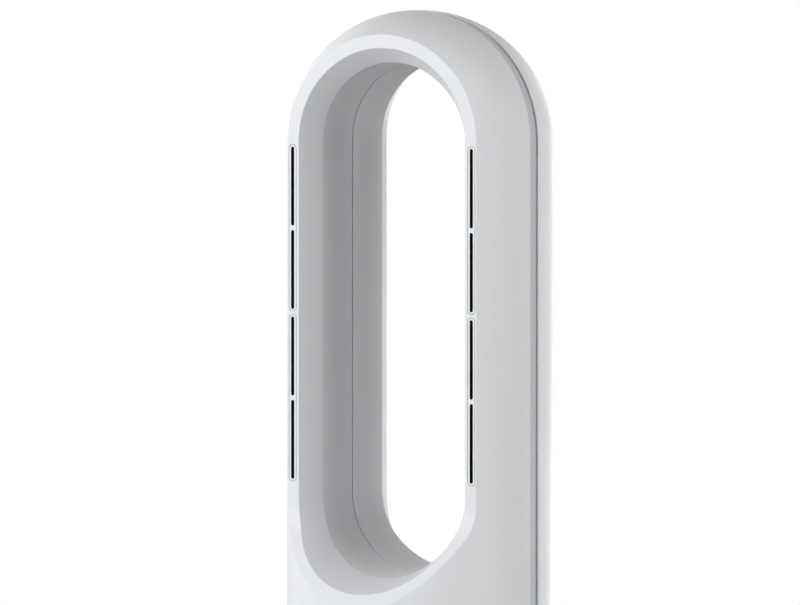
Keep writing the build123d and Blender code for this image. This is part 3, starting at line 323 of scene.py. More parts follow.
# %% The walk round the opening
INSERT_X, INSERT_Z = 85.486, 684.6   # of the inserts, and of the gap between two of them
INSERT_LONG, INSERT_WIDE = 141.2, 7.2
INSERT_PITCH, INSERT_GAP = 143.6, 0.3                      # the gap is the one round each
CAP, SPAN = 4, 6                     # grid steps at an insert's end, and along it
ACROSS = 12                          # grid steps across the band
ENDS = 2 * CAP + ACROSS              # grid steps of a round end
TURN = 96                            # steps in each half round


def insert_rows():
    """Heights of the grid rows beside one insert, from its own middle."""
    half_box = INSERT_PITCH / 2
    half_run = (INSERT_LONG - INSERT_WIDE) / 2
    low = np.linspace(-half_box, -half_run, CAP + 1)
    run = np.linspace(-half_run, half_run, SPAN + 1)
    return np.concatenate([low, run[1:], -low[::-1][1:]])


middles = (INSERT_Z - INSERT_PITCH / 2, INSERT_Z + INSERT_PITCH / 2)
beside_inserts = [middles[0] + insert_rows(), middles[1] + insert_rows()[1:]]
ARM = np.concatenate([[LOW], *beside_inserts, [HIGH]])
turn = np.linspace(0, np.pi, TURN + 1)
angle = np.concatenate([0 * ARM, turn[1:-1], 0 * ARM + np.pi, turn[1:] + np.pi])
centre = np.concatenate([ARM, 0 * turn[1:-1] + HIGH, ARM[::-1], 0 * turn[1:] + LOW])
UNDER = slice(len(angle) - TURN - 1, len(angle))           # the half round underneath
print(f"walk: {len(angle)} steps")


def in_space(r, q, side, a=angle, z=centre):
    """Point at distance r from the walk's centre line and q in front of the axis:
    x = r cos a, y = side q, height = centre + r sin a."""
    r, q = np.broadcast_arrays(r, q)
    a, z = (v[(...,) + (None,) * (r.ndim - 1)] for v in (a, z))
    return np.stack([r * np.cos(a), side * q, z + r * np.sin(a)], axis=-1)


def band_depth(z, face):
    """Depth of the band at height z: flat above, one round bend, then a straight lean
    that meets the round front at the sweep's end."""
    corner = SWEEP_END + (BODY - face) / np.tan(LEAN)
    top = corner + BEND * np.tan(LEAN / 2)
    bend = face + BEND - np.sqrt(np.clip(BEND**2 - (top - z) ** 2, 0, None))
    lean = face + (corner - z) * np.tan(LEAN)
    return np.where(z >= top, face, np.where(z >= top - BEND * np.sin(LEAN), bend, lean))


def opening_sizes(half):
    """Crease radius, rim radius and flare depth at every step of the walk: those of the
    arms, plus a share 3s^2 - 2s^3 of the change over the top or underneath, s = |sin a|."""
    s = np.abs(np.sin(angle))
    share = s * s * (3 - 2 * s)
    over, under = (np.array(half[way])[:, None] for way in ("over", "under"))
    arms = np.array([half["crease"], half["rim"], half["deep"]])[:, None]
    return arms + share * np.where(np.sin(angle) > 0, over, under)


for half in (FRONT, REAR):
    print(f"flare {np.ptp(opening_sizes(half)[2]):.1f} mm deeper in one place than in another")

# %% [markdown]
# ### The outline from above
# Seen from above the front half is half a circle. The rear one is a little fuller at its
# corners, which is what makes the fan's far side show past the groove in the picture.
# Below the loop that fullness fades, so that the column stands flush on the round grille.

# %% The outline from above
FADE = (236.0, 437.0)                # heights between which the rear half fills out
WAYS, LAST_WAY = 4001, 0.6 * np.pi   # angles at which the outline is read off


def swell(z):
    """Share of the fullness at height z, 3t^2 - 2t^3 between the fade heights, and the
    slope of that share."""
    t = np.clip((z - FADE[0]) / (FADE[1] - FADE[0]), 0, 1)
    return t * t * (3 - 2 * t), 6 * t * (1 - t) / (FADE[1] - FADE[0])


def section(turned, half, inset, z=HIGH):
    """Point (x, q) of the outside at an angle from straight ahead: radius R + f sin(2a)^2."""
    radius = BODY - inset + half["fuller"] * swell(z)[0] * np.sin(2 * turned) ** 2
    return radius * np.sin(turned), radius * np.cos(turned)


def section_normal(turned, half, inset, z=HIGH):
    """Normal (x, q, z) there, the gradient of distance minus radius."""
    share, slope = swell(z)
    radius = BODY - inset + half["fuller"] * share * np.sin(2 * turned) ** 2
    change = half["fuller"] * share * 2 * np.sin(4 * turned)
    climb = half["fuller"] * slope * np.sin(2 * turned) ** 2
    x = radius * np.sin(turned) - change * np.cos(turned)
    q = radius * np.cos(turned) + change * np.sin(turned)
    normal = np.stack(np.broadcast_arrays(x, q, -radius * climb), axis=-1)
    return normal / np.linalg.norm(normal, axis=-1, keepdims=True)


def angle_at(q, half, inset):
    """Angle at which the outside of the loop has depth q, read off the outline."""
    turned = np.linspace(0, LAST_WAY, WAYS)
    return np.interp(-q, -section(turned, half, inset)[1], turned)


print(f"the rear half is up to {REAR['fuller']} mm fuller than round")

# %% [markdown]
# ### Where the band ends
# The band runs out to the round side of the tower. On the arms that is a fixed width.
# Underneath, the edge is the curve where the leaning band cuts the upright cylinder:
# at each step the distance is found by halving an interval, for all steps at once.

# %% The edge of the band
HALVINGS, BEYOND = 48, 1.5 * BODY    # and a distance that is surely past the edge


def band_edge(half, inset):
    """Distance r at which the point (r cos a, depth) leaves the outline from above."""
    face = half["face"]
    fixed = section(angle_at(face - inset, half, inset), half, inset)[0]
    near, far = np.full(len(angle), half["rim"]), np.full(len(angle), BEYOND)
    for _ in range(HALVINGS):
        r = (near + far) / 2
        q = band_depth(centre + r * np.sin(angle), face) - inset
        x = r * np.cos(angle)
        outside = np.hypot(x, q) > np.hypot(*section(np.arctan2(x, q), half, inset))
        near, far = np.where(outside, near, r), np.where(outside, r, far)
    edge = np.full(len(angle), fixed)
    edge[UNDER] = ((near + far) / 2)[UNDER]
    return edge


def skirt_line(half, inset, soft):
    """Where the soft edge runs out on the round side, as arc length s and height: on the
    unrolled cylinder, the edge curve moved square to itself by the softness."""
    radius = BODY - inset
    r = band_edge(half, inset)[UNDER]
    x, z = r * np.cos(angle[UNDER]), centre[UNDER] + r * np.sin(angle[UNDER])
    s = radius * np.arctan2(x, band_depth(z, half["face"]) - inset)
    ds, dz = np.gradient(s), np.gradient(z)
    size = np.hypot(ds, dz)
    return s + soft * dz / size, z - soft * ds / size


def on_cylinder(s, z, half, inset):
    """Unrolled point (s, z) back on the outside, at the angle s/R."""
    x, q = section(s / (BODY - inset), half, inset, z)
    return np.stack([x, half["side"] * q, z], axis=-1)


def around_normal(s, z, half, inset):
    """Normal of the outside at the unrolled point (s, z)."""
    return section_normal(s / (BODY - inset), half, inset, z) * [1, half["side"], 1]


bottom = band_edge(FRONT, 0)[UNDER][TURN // 2] - FRONT["rim"]
print(f"the front band is {bottom:.1f} mm high at the bottom")

# %% [markdown]
# ### Inside the opening
# All that the air passes is one sheet: the bore, a soft crease, the flare, a soft rim
# and the band with its outer edge. The bore is drafted as a moulding has to be, or it
# would stick in its mould. The shell's inner face is the same sheet, set in by one wall.

# %% The sheet from the seam to the edge of the band
BORE_STEPS, FLARE_STEPS = 3, 8       # grid steps of the two straights


def opening_sheet(half, inset, crease, rim, edge):
    """One closed sheet over the whole walk: bore, which narrows towards the seam as a
    mould's draft does, soft crease, flare, soft rim, band and soft edge. inset puts it
    that far inside the plastic; crease, rim and edge are the softness of its corners."""
    side, face = half["side"], half["face"]
    crease_r, rim_r, deep = opening_sizes(half)
    slope = (rim_r - crease_r) / deep
    lean = np.sqrt(1 + slope**2)
    r1, r2 = crease_r + inset, rim_r + inset * (lean - slope)
    q2 = band_depth(centre + r2 * np.sin(angle), face)
    q1 = face - deep + FOLLOW * (q2 - face) - inset * (lean - 1) / slope
    q2 = q2 - inset
    bore, bend = (np.stack([r, q], axis=-1) for r, q in ((r1, q1), (r2, q2)))
    seam = np.full((len(angle), 2), (BORE + inset, half["seam"][1]))
    flare = (bend - bore) / np.linalg.norm(bend - bore, axis=1, keepdims=True)
    r3 = band_edge(half, inset)
    start, width = r2 + rim, (r3 - edge) - (r2 + rim)
    r = start[:, None] + width[:, None] * np.linspace(0, 1, ACROSS + 1)
    q = band_depth(centre[:, None] + r * np.sin(angle)[:, None], face) - inset
    band = np.stack([r, q], axis=-1)
    draft = (seam - bore) / np.linalg.norm(seam - bore, axis=1, keepdims=True)
    below = bore + crease * draft
    run = np.concatenate(
        [
            straight(seam, below, BORE_STEPS)[:, :-1],
            rounded(below, bore, bore + crease * flare),
            straight(bore + crease * flare, bend - rim * flare, FLARE_STEPS)[:, 1:-1],
            rounded(bend - rim * flare, bend, band[:, 0]),
            band[:, 1:-1],
        ],
        axis=1,
    )
    run = in_space(run[..., 0], run[..., 1], side)
    corner = in_space(r3, band_depth(centre + r3 * np.sin(angle), face) - inset, side)
    turned = angle_at(face - inset, half, inset) + edge / (BODY - inset)
    out = in_space(*(v + 0 * angle for v in section(turned, half, inset)), side)
    skirt = skirt_line(half, inset, edge)
    out[UNDER] = on_cylinder(*skirt, half, inset)
    last = in_space(band[:, -1, 0], band[:, -1, 1], side)
    grid = np.concatenate([run, rounded(last, corner, out)], axis=1)
    known = np.full(grid.shape, np.nan)
    nx, nq, _ = section_normal(turned, half, inset)
    outward = [nx * np.cos(angle), side * nq + 0 * angle, nx * np.sin(angle)]
    known[:, -1] = np.stack(outward, axis=-1)
    known[UNDER, -1] = around_normal(*skirt, half, inset)
    return sheet(grid, ring=True, normals=known)


print(f"the opening is {2 * BORE} mm wide at the seam")

# %% [markdown]
# ### The round side
# From the edge of the band the side follows the outline from above, straight along the
# arms and turned over the top into a dome. Near the groove the front shell eases in by
# a millimetre, a facet painted grey as shade for the soft darker line that the picture
# shows there.

# %% The side sheet
FALL = np.linspace(0, 1, 25)         # grid rows from the band's edge down to the foot
FACET_STEPS, TURN_STEPS = 3, 4       # grid steps of the facet and of its soft turn
BEVEL_STEPS = 5                      # how many of them are painted grey as shade
SHADE_BLACK, SEAM_SHADE = 1, 2                   # places on a piece of the materials of painted shade: black, grey
PAST, NEAR = 0.08, 0.88              # where the turn ends on the arc, starts on the facet
ARC_POINTS = 17


def side_profile(half, inset, edge, z):
    """Section (r, q) from the seam to the band: an easing line, a soft turn, then an arc."""
    start = half["seam"][0]
    drop, length = half["ease"]
    ends = (angle_at(q, half, inset) for q in (start, start + length))
    seam, heel = (np.array(section(turned, half, inset, z)) for turned in ends)
    first = seam - [drop, 0]
    past = angle_at(start + length, half, inset) - PAST * length / BODY
    after = np.array(section(past, half, inset, z))
    nx, nq, _ = section_normal(past, half, inset, z)
    way, tangent = heel - first, np.array([-nq, nx])
    share = np.linalg.solve(np.stack([way, -tangent], axis=1), after - first)
    corner = first + share[0] * way
    near = first + NEAR * (corner - first)
    last = angle_at(half["face"] - inset, half, inset) + edge / (BODY - inset)
    arc = np.stack(section(np.linspace(past, last, ARC_POINTS), half, inset, z), axis=-1)
    facet = straight(first, near, FACET_STEPS)
    return np.concatenate([facet[:-1], rounded(near, corner, after, TURN_STEPS)[:-1], arc])


def side_sheet(half, inset, edge):
    """The side profile carried up the right side, over the top and down the left side."""
    side = half["side"]
    column = (LOW * (1 - FALL) + FOOT * FALL)[::-1]
    arm = np.concatenate([column[:-1], ARM])
    a = np.concatenate([0 * arm, turn[1:-1], 0 * arm + np.pi])
    z = np.concatenate([arm, 0 * turn[1:-1] + HIGH, arm[::-1]])
    plain, full = (side_profile(half, inset, edge, height) for height in (FOOT, HIGH))
    share = swell(z)[0][:, None, None]
    profile = plain * (1 - share) + full * share
    grid = in_space(profile[..., 0], profile[..., 1], side, a, z)
    known = np.full(grid.shape, np.nan)
    turned = angle_at(half["face"] - inset, half, inset) + edge / (BODY - inset)
    nx, nq, nz = section_normal(turned, half, inset, z).T
    known[:, -1] = np.stack([nx * np.cos(a), side * nq, nx * np.sin(a) + nz], axis=-1)
    bevel = np.arange(grid.shape[1] - 1) < BEVEL_STEPS
    # the front shell's facet is painted grey: painted shade beside the groove
    return sheet(grid, normals=known, finish=SEAM_SHADE * (bevel & (half is FRONT))[None])


print(f"side: {ARC_POINTS - 1} steps round, {FACET_STEPS + TURN_STEPS} at the groove")

# %% [markdown]
# ### The column
# The column below the opening is a third sheet, which hangs from the band's lower edge
# down to the foot. It is drawn on the unrolled cylinder and then wound round the fan.
# The front one leaves a frame free in its grid, and a ring of grid leads from that
# frame to the round-ended opening for the control panel.

# %% The column sheet, with a place for the control panel in the front one
LEFT, RIGHT, DOWN = TURN // 2 - 12, TURN // 2 + 12, 16     # the panel's frame, in grid steps
RING_STEPS = 5                       # from that frame to the opening


def column_grid(half, inset, soft):
    """Unrolled grid that hangs from the band's lower edge. Its columns spread out evenly
    on their way down; the two that frame the panel's opening run straight down."""
    s, z = skirt_line(half, inset, soft)
    steps = np.arange(TURN + 1)
    below = np.interp(steps, [0, LEFT, RIGHT, TURN], [s[0], s[LEFT], s[RIGHT], s[-1]])
    fall = np.sin(FALL * np.pi / 2)
    grid_s = s[:, None] * (1 - fall) + below[:, None] * fall
    grid_z = z[:, None] * (1 - FALL) + FOOT * FALL
    return grid_s, grid_z


def column_sheets(half, inset, soft, panel=None):
    """The column's sheet, and where panel is given, a ring of grid round its opening:
    straight lines on the unrolled cylinder from the frame to the round-ended opening."""
    s, z = column_grid(half, inset, soft)
    grid = on_cylinder(s, z, half, inset)
    facing = around_normal(s, z, half, inset)
    if panel is None:
        return [sheet(grid, normals=facing)], None
    keep = np.ones((TURN, len(FALL) - 1), bool)
    keep[LEFT:RIGHT, :DOWN] = False
    x, hole_z = round_ended(*panel, RIGHT - LEFT, DOWN)
    hole_s = (BODY - inset) * np.arcsin(x / (BODY - inset))
    t = np.linspace(0, 1, RING_STEPS + 1)

    def ring_between(g, hole):
        top, right, bottom = g[LEFT:RIGHT, 0], g[RIGHT, :DOWN], g[RIGHT:LEFT:-1, DOWN]
        around = np.concatenate([top, right, bottom, g[LEFT, DOWN:0:-1]])
        ring = around[:, None] * (1 - t) + hole[:, None] * t
        return np.concatenate([ring, ring[:1]])

    unrolled = ring_between(s, hole_s), ring_between(z, hole_z)
    ring = on_cylinder(*unrolled, half, inset)
    out = around_normal(*unrolled, half, inset)
    return [sheet(grid, normals=facing, keep=keep), sheet(ring, normals=out)], ring[:, -1]


def round_ended(x, z, half_wide, half_long, ends, sides):
    """Outline of a round-ended slot, clockwise from the left end of its top half round:
    half circles of the half width, and straight sides between them."""
    run = half_long - half_wide
    a = np.linspace(np.pi, 0, ends + 1)[:-1]
    side = np.linspace(run, -run, sides + 1)[:-1]
    round_x, round_z = half_wide * np.cos(a), half_wide * np.sin(a)
    xs = np.concatenate([round_x, 0 * side + half_wide, -round_x, 0 * side - half_wide])
    zs = np.concatenate([run + round_z, side, -run - round_z, -side])
    return x + xs, z + zs


print(f"column: {TURN} by {len(FALL) - 1} faces")

# %% [markdown]
# ### Pockets for the slotted inserts
# The band carries four long pockets. Each one is a ring of grid between a box that fits
# the band's own grid and the round-ended outline of the pocket, then a tiny rounded lip
# and a wall that drops through the plastic, painted black as the shadow in the gap.

# %% Pockets in the band
LIP_STEPS = 4                        # grid steps of the small lips at pockets and slots


def boxed(x_low, x_high, z_mid):
    """Outline of the box round one insert, clockwise and step for step beside round_ended."""
    rows = insert_rows()
    over = np.linspace(x_low, x_high, ACROSS + 1)[:-1]
    up, down = rows[CAP + SPAN:-1], rows[::-1][:CAP]
    side = rows[CAP + SPAN:CAP:-1]
    top_x = np.concatenate([0 * up + x_low, over, 0 * down + x_high])
    top_z = np.concatenate([up, 0 * over + rows[-1], down])
    xs = np.concatenate([top_x, 0 * side + x_high, x_low + x_high - top_x, 0 * side + x_low])
    zs = np.concatenate([top_z, side, -top_z, -side])
    return xs, z_mid + zs


def level(outline, q):
    """Closes an outline and puts it at depth q in front of the axis."""
    xs, zs = (np.append(v, v[0]) for v in outline)
    return np.stack([xs, 0 * xs - q, zs], axis=-1)


def pocket_sheets(x, z_mid, wall, outer, inner, lip=0.12):
    """Sheets of one pocket: face ring, soft lip with its wall painted black as shadow, and the
    ring inside.
    """
    face = FRONT["face"]

    def pocket(grow, q):
        size = INSERT_WIDE / 2 + grow, INSERT_LONG / 2 + grow
        return level(round_ended(x, z_mid, *size, ENDS, SPAN), q)

    def box(limits, q):
        low, high = sorted(np.sign(x) * np.array(limits))
        return level(boxed(low, high, z_mid), q)

    lips = rounded(pocket(lip, face), pocket(0, face), pocket(0, face - lip), LIP_STEPS)
    back = pocket(0, face - wall)
    return [
        sheet(straight(box(outer, face), pocket(lip, face), 1)),
        sheet(lips),
        # the pocket's wall is painted black: painted shadow in the gap round the insert
        sheet(np.stack([lips[:, -1], back], axis=1), finish=SHADE_BLACK),
        sheet(straight(back, box(inner, face - wall), 1)),
    ]


print(f"a pocket's outline has {2 * (ENDS + SPAN)} steps")

# %% [markdown]
# ### Putting a shell together
# Each half is closed all round, like the real moulding: an outside, an inside one wall
# further in, and narrow strips at the seam, the foot and the panel's opening. The inside
# has sharper corners, because nobody sees it.

# %% The front and rear shells
PANEL = (0.0, 371.0, 15.0, 55.0)     # middle and half sizes of the panel's opening
WALLS = {"front": 1.2, "rear": 3.0}  # thickness of the plastic
OUTSIDE = {"crease": 0.6, "rim": 0.5, "edge": 0.5}         # softness of the corners
INSIDE = {"crease": 0.2, "rim": 0.15, "edge": 0.15}
ON_ARM = 3                           # a step of the walk beside an insert


def band_keep():
    """False where the arms' band gives way to the boxes round the inserts."""
    keep = np.ones((len(angle) - 1, 1), bool)
    left_arm = len(ARM) - 1 + TURN
    for start in (0, left_arm):
        keep[start + 1:start + len(ARM) - 2] = False
    return keep


def shell(name, half, panel=None, inserts=()):
    """Outside and inside sheets of one half, closed by strips at the seam and the foot."""
    wall = WALLS[name]
    both, limits = [], []
    for inset, soft in ((0.0, OUTSIDE), (wall, INSIDE)):
        over = opening_sheet(half, inset, **soft)
        outer = over["grid"].shape[1] - 1 - SOFT
        if inserts:
            over["keep"][:, outer - ACROSS:outer] &= band_keep()
        limits.append(np.abs(over["grid"][ON_ARM, [outer - ACROSS, outer], 0]))
        column, hole = column_sheets(half, inset, soft["edge"], panel)
        both.append((over, side_sheet(half, inset, soft["edge"]), column, hole))
    (over, side, column, hole), (under, lining, inner, inner_hole) = both
    sheets = [over, side, *column, under, lining, *inner]

    def strip(a, b):
        sheets.append(sheet(np.stack([a, b], axis=1)))

    strip(over["grid"][:, 0], under["grid"][:, 0])
    strip(side["grid"][:, 0], lining["grid"][:, 0])
    strip(side["grid"][0], lining["grid"][0])
    strip(side["grid"][-1], lining["grid"][-1])
    strip(column[0]["grid"][:, -1], inner[0]["grid"][:, -1])
    if panel:
        strip(hole, inner_hole)
    for x, z in inserts:
        sheets.extend(pocket_sheets(x, z, wall, *limits))
    materials = [shell_white, black_and_painted_shade, painted_seam_shade]
    piece(f"{name}_shell_skin", sheets, materials, "tower", [f"{name}_shell"])


spots = [(hand * INSERT_X, z) for hand in (-1, 1) for z in middles]
shell("front", FRONT, PANEL, spots)
shell("rear", REAR)

# %% [markdown]
# ## Slotted inserts
# Air leaves through two narrow slots in each insert. The insert is a separate white
# moulding with a hair of shadow round it. Its walls and the channels behind its slots are
# painted black as shadow, so that nothing of the inside shows. It is drawn as rings of
# grid round each slot.

# %% The four inserts
SLOT_WIDE, SLOT_LONG, SLOT_PITCH = 2.95, 66.7, 70.4
INSERT_BACK, NECK = 30.0, 4          # depth of the insert's back, grid steps beside its bridge


def half_insert(grow, hand):
    """Outline of one half of an insert, clockwise from the left end of its half round:
    half round, side, half of the bridge's width, across the bridge, and back up."""
    wide, long = INSERT_WIDE / 2 - INSERT_GAP, INSERT_LONG / 2 - INSERT_GAP
    neck = (SLOT_PITCH - SLOT_LONG + SLOT_WIDE) / 2
    w = wide + grow
    a = np.linspace(np.pi, 0, ENDS + 1)[:-1]
    side = np.linspace(long - wide, neck, SPAN + 1)
    beside = np.linspace(neck, 0, NECK + 1)
    over = np.linspace(w, -w, ENDS - 2 * NECK + 1)[:-1]
    down = np.concatenate([side[:-1], beside[:-1]])
    up = np.concatenate([beside[:0:-1], side[:0:-1]])
    xs = [w * np.cos(a), 0 * down + w, over, 0 * up - w]
    zs = [long - wide + w * np.sin(a), down, 0 * over, up]
    return np.concatenate(xs), hand * np.concatenate(zs)


def insert_sheets(x, z_mid, lip=0.1):
    """For each half: the face ring, the slot's soft lip and its channel, the ring at the
    back, and the outer wall with its soft edge; channel, back and wall are painted black
    as shadow. The two halves meet at the bridge."""
    face, made = FRONT["face"], []
    shift = np.array([x, 0, z_mid])
    left_side = 2 * ENDS + SPAN - NECK           # step at which the left side starts
    wall_steps = 2 * (SPAN + NECK) + ENDS        # left side, round end and right side
    for hand in (1, -1):
        def slot(grow, q):
            size = SLOT_WIDE / 2 + grow, SLOT_LONG / 2 + grow
            xs, zs = round_ended(0, SLOT_PITCH / 2, *size, ENDS, SPAN)
            return level((xs, hand * zs), q)

        def side(grow, q):
            return level(half_insert(grow, hand), q)

        def wall(grow, q):
            return np.roll(side(grow, q)[:-1], -left_side, axis=0)[:wall_steps + 1]

        edge = rounded(wall(-lip, face), wall(0, face), wall(0, face - lip), LIP_STEPS)
        mouth = rounded(slot(lip, face), slot(0, face), slot(0, face - lip), LIP_STEPS)
        back = slot(0, INSERT_BACK)
        made += [
            sheet(straight(side(-lip, face), slot(lip, face), 1) + shift),
            sheet(mouth + shift),
            # channel, back and outer wall are painted black: painted shadow
            sheet(straight(mouth[:, -1], back, 1) + shift, finish=SHADE_BLACK),
            sheet(straight(back, side(0, INSERT_BACK), 1) + shift, finish=SHADE_BLACK),
            sheet(edge + shift),
            sheet(straight(edge[:, -1], wall(0, INSERT_BACK), 1) + shift, finish=SHADE_BLACK),
        ]
    return made


for x, z in spots:
    name = f"nozzle_{'left' if x < 0 else 'right'}_{'lower' if z < INSERT_Z else 'upper'}"
    materials = [insert_white, black_and_painted_shade]
    piece(f"{name}_skin", insert_sheets(x, z), materials, "tower", [name])

# %% [markdown]
# ## Marks on the buttons
# Nothing of the buttons shows in the picture, so each gets a plain mark of the usual
# kind: power, slower, faster, swing. Pad printing leaves a thin, slightly raised film of
# ink; here every stroke is a shallow strip along a path, and it rides on its button.

# %% Strokes of print
BUTTON_FACE = 110.6                  # its depth in front of the axis
INK, STROKE = 0.06, 0.7              # height and width of a stroke
LAYER = 0.01                         # how much higher each further stroke lies
print_grey = moulded("print_grey", (0.18, 0.185, 0.19), 0.6)


def stroke(path, layer):
    """Raised strip along an (n, 2) path of x and z: the path moved half a width to each
    side, in front of and just inside the button's face, closed on all six sides. Each
    further layer of a mark lies a little higher, where strokes cross."""
    path = np.asarray(path, float)
    along = np.gradient(path, axis=0)
    along /= np.linalg.norm(along, axis=1, keepdims=True)
    aside = along[:, ::-1] * [-1, 1] * STROKE / 2
    high = INK + LAYER * layer

    def corner(points, depth):
        return np.stack([points[:, 0], 0 * points[:, 0] - depth, points[:, 1]], axis=-1)

    ring = [
        corner(path + way * aside, BUTTON_FACE + up * high)
        for way, up in ((1, 1), (-1, 1), (-1, -1), (1, -1))
    ]
    sides = [sheet(np.stack([a, b], axis=1)) for a, b in zip(ring, ring[1:] + ring[:1])]
    a, b, c, d = ring
    ends = [sheet(np.array([[a[k], b[k]], [d[k], c[k]]])) for k in (0, -1)]
    return sides + ends


def arc_path(x, z, radius, start, end, steps=24):
    """Points x + r cos a, z + r sin a for a between two angles in degrees."""
    a = np.radians(np.linspace(start, end, steps + 1))
    return np.stack([x + radius * np.cos(a), z + radius * np.sin(a)], axis=-1)


def bar(x, z, wide, tall):
    """Two ends of a straight stroke through (x, z)."""
    return np.array([[x - wide / 2, z - tall / 2], [x + wide / 2, z + tall / 2]])


print(f"strokes {STROKE} mm wide, {INK} mm high")

# %% [markdown]
# ### The four marks
# Power is an open ring with an upright, slower a minus, faster a plus, and swing an arc
# with an arrow tip at each end.

# %% The four marks
HEIGHTS = {"power": 380.0, "slower": 362.5, "faster": 345.0, "swing": 327.5}
MARK = 5.0                           # length of the strokes of minus and plus
RING, OPEN = 2.6, (125, 415)         # radius of the power ring, angles of its ends
STEM, STEM_UP = 2.8, 2.1             # length of its upright stroke, height of its middle
ARC, ARC_ENDS = 3.8, (145, 35)       # radius of the swing arc, angles of its ends
ARC_DOWN = 2.6                       # how far its centre lies below the mark's
WINGS = ((0.15, 1.7), (-1.64, 0.44))   # of the right arrow tip, mirrored for the left one


def swing_mark(z):
    """The arc, and from both its ends the two short strokes of an arrow tip."""
    arc = (0, z - ARC_DOWN, ARC, *ARC_ENDS)
    left, right = arc_path(*arc, 1)
    wings = [(tip, (side * x, up)) for tip, side in ((left, -1), (right, 1)) for x, up in WINGS]
    return [arc_path(*arc)] + [np.array([tip, tip + way]) for tip, way in wings]


marks = {
    "power": lambda z: [arc_path(0, z, RING, *OPEN), bar(0, z + STEM_UP, 0, STEM)],
    "slower": lambda z: [bar(0, z, MARK, 0)],
    "faster": lambda z: [bar(0, z, MARK, 0), bar(0, z, 0, MARK)],
    "swing": swing_mark,
}
for kind, z in HEIGHTS.items():
    strokes = []
    for layer, path in enumerate(marks[kind](z)):
        strokes += stroke(path, layer)
    piece(f"mark_{kind}", strokes, [print_grey], f"button_{kind}")

# %% [markdown]
# ## Finishes for the solids that stay
# The other visible pieces have the right shape already, so they keep it and only get
# their finish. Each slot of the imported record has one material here.

# %% One material for each of the record's slots
finish_of = {
    "shell_white": shell_white, "insert_white": insert_white, "panel_white": panel_white,
    "button_white": button_white, "grille_white": grille_white, "trim_grey": trim_grey,
    "base_grey": base_white, "black_plastic": black_and_painted_shade, "rubber_dark": rubber_dark,
    "impeller_grey": moulded("impeller_grey", (0.06, 0.062, 0.066), 0.45),
    "acetal": moulded("acetal", (0.62, 0.6, 0.54), 0.4),
    "window_smoke": moulded("window_smoke", (0.008, 0.008, 0.01), 0.08, depth=1e-6),
    "board_green": moulded("board_green", (0.01, 0.06, 0.025), 0.35),
    "filter_mesh": moulded(
        "filter_mesh", (0.05, 0.053, 0.057), 0.9, grain=1.2, depth=0.0004, tone=0.3
    ),
    "cast_weight": moulded(
        "cast_weight", (0.035, 0.035, 0.037), 0.65, grain=1.0, depth=0.0001, tone=0.2
    ),
    "steel": moulded("steel", (0.45, 0.45, 0.46), 0.3, tone=0.05),
    "magnet": moulded("magnet", (0.05, 0.05, 0.055), 0.4, tone=0.05),
    "winding": moulded("winding", (0.35, 0.14, 0.06), 0.4, grain=0.8, depth=0.0002, tone=0.1),
}
for metal in ("steel", "magnet", "winding"):
    skin = finish_of[metal].node_tree.nodes["Principled BSDF"]
    skin.inputs["Metallic"].default_value = 1.0
print(f"{len(finish_of)} finishes")

# %% [markdown]
# ## Light, floor and backdrop
# The picture is a packshot: the fan stands in an all-white room, softboxes stand round
# it, and whatever misses the fan is plain white. The strongest light comes from the
# front, a little from the left, so the flat band is the lightest place. The inside of
# the opening faces away from it and is the darkest. Lights on the right, high and low,
# shape the round side, and weak ones behind keep the back readable.

# %% Softboxes
MIDDLE, AWAY = Vector((0, 0, 0.65)), 2.6   # what they face, and from how far, in metres
DAYLIGHT = (0.975, 0.988, 1.0)       # colour of their light and of the room's


def softbox(name, turned, lift, wide, tall, power):
    """A rectangular area light on a sphere round the fan, facing it: turned is its angle
    from the front towards +X, lift its height angle, both in degrees; power in watts."""
    around, above = np.radians([turned, lift])
    flat = np.cos(above)
    way = Vector((np.sin(around) * flat, -np.cos(around) * flat, np.sin(above)))
    lamp = bpy.data.objects.new(name, bpy.data.lights.new(name, "AREA"))
    lamp.data.shape = "RECTANGLE"
    lamp.data.size, lamp.data.size_y = wide, tall
    lamp.data.energy = power
    lamp.data.color = DAYLIGHT
    lamp.location = MIDDLE + way * AWAY
    lamp.rotation_euler = (-way).to_track_quat("-Z", "Y").to_euler()
    bpy.context.scene.collection.objects.link(lamp)
    print(f"{name}: {power} W")


softbox("front", 347, 3, 1.0, 1.2, 17.0)
softbox("front_high", 345, 25, 1.2, 1.0, 14.0)
softbox("front_left", 328, 8, 1.6, 1.6, 14.5)
softbox("front_left_high", 328, 25, 1.2, 1.0, 14.0)
softbox("right", 90, 5, 1.6, 1.6, 13.0)
softbox("right_low", 90, -10, 1.2, 0.6, 12.0)
softbox("right_high", 90, 40, 1.6, 1.6, 17.0)
softbox("left", 270, 0, 1.6, 1.6, 8.0)
softbox("behind", 188, 0, 0.5, 1.4, 5.5)
softbox("behind_low", 178, -9, 1.6, 0.4, 5.0)
softbox("behind_left", 240, 20, 1.6, 1.6, 9.0)
softbox("behind_right", 120, 0, 0.4, 1.8, 3.5)

# %% [markdown]
# ### The white room
# The world shows plain white to the camera and in reflections, and adds only a little
# light of its own. A light path node tells the two kinds of ray apart, so the backdrop
# is clean white without washing out the shadows.

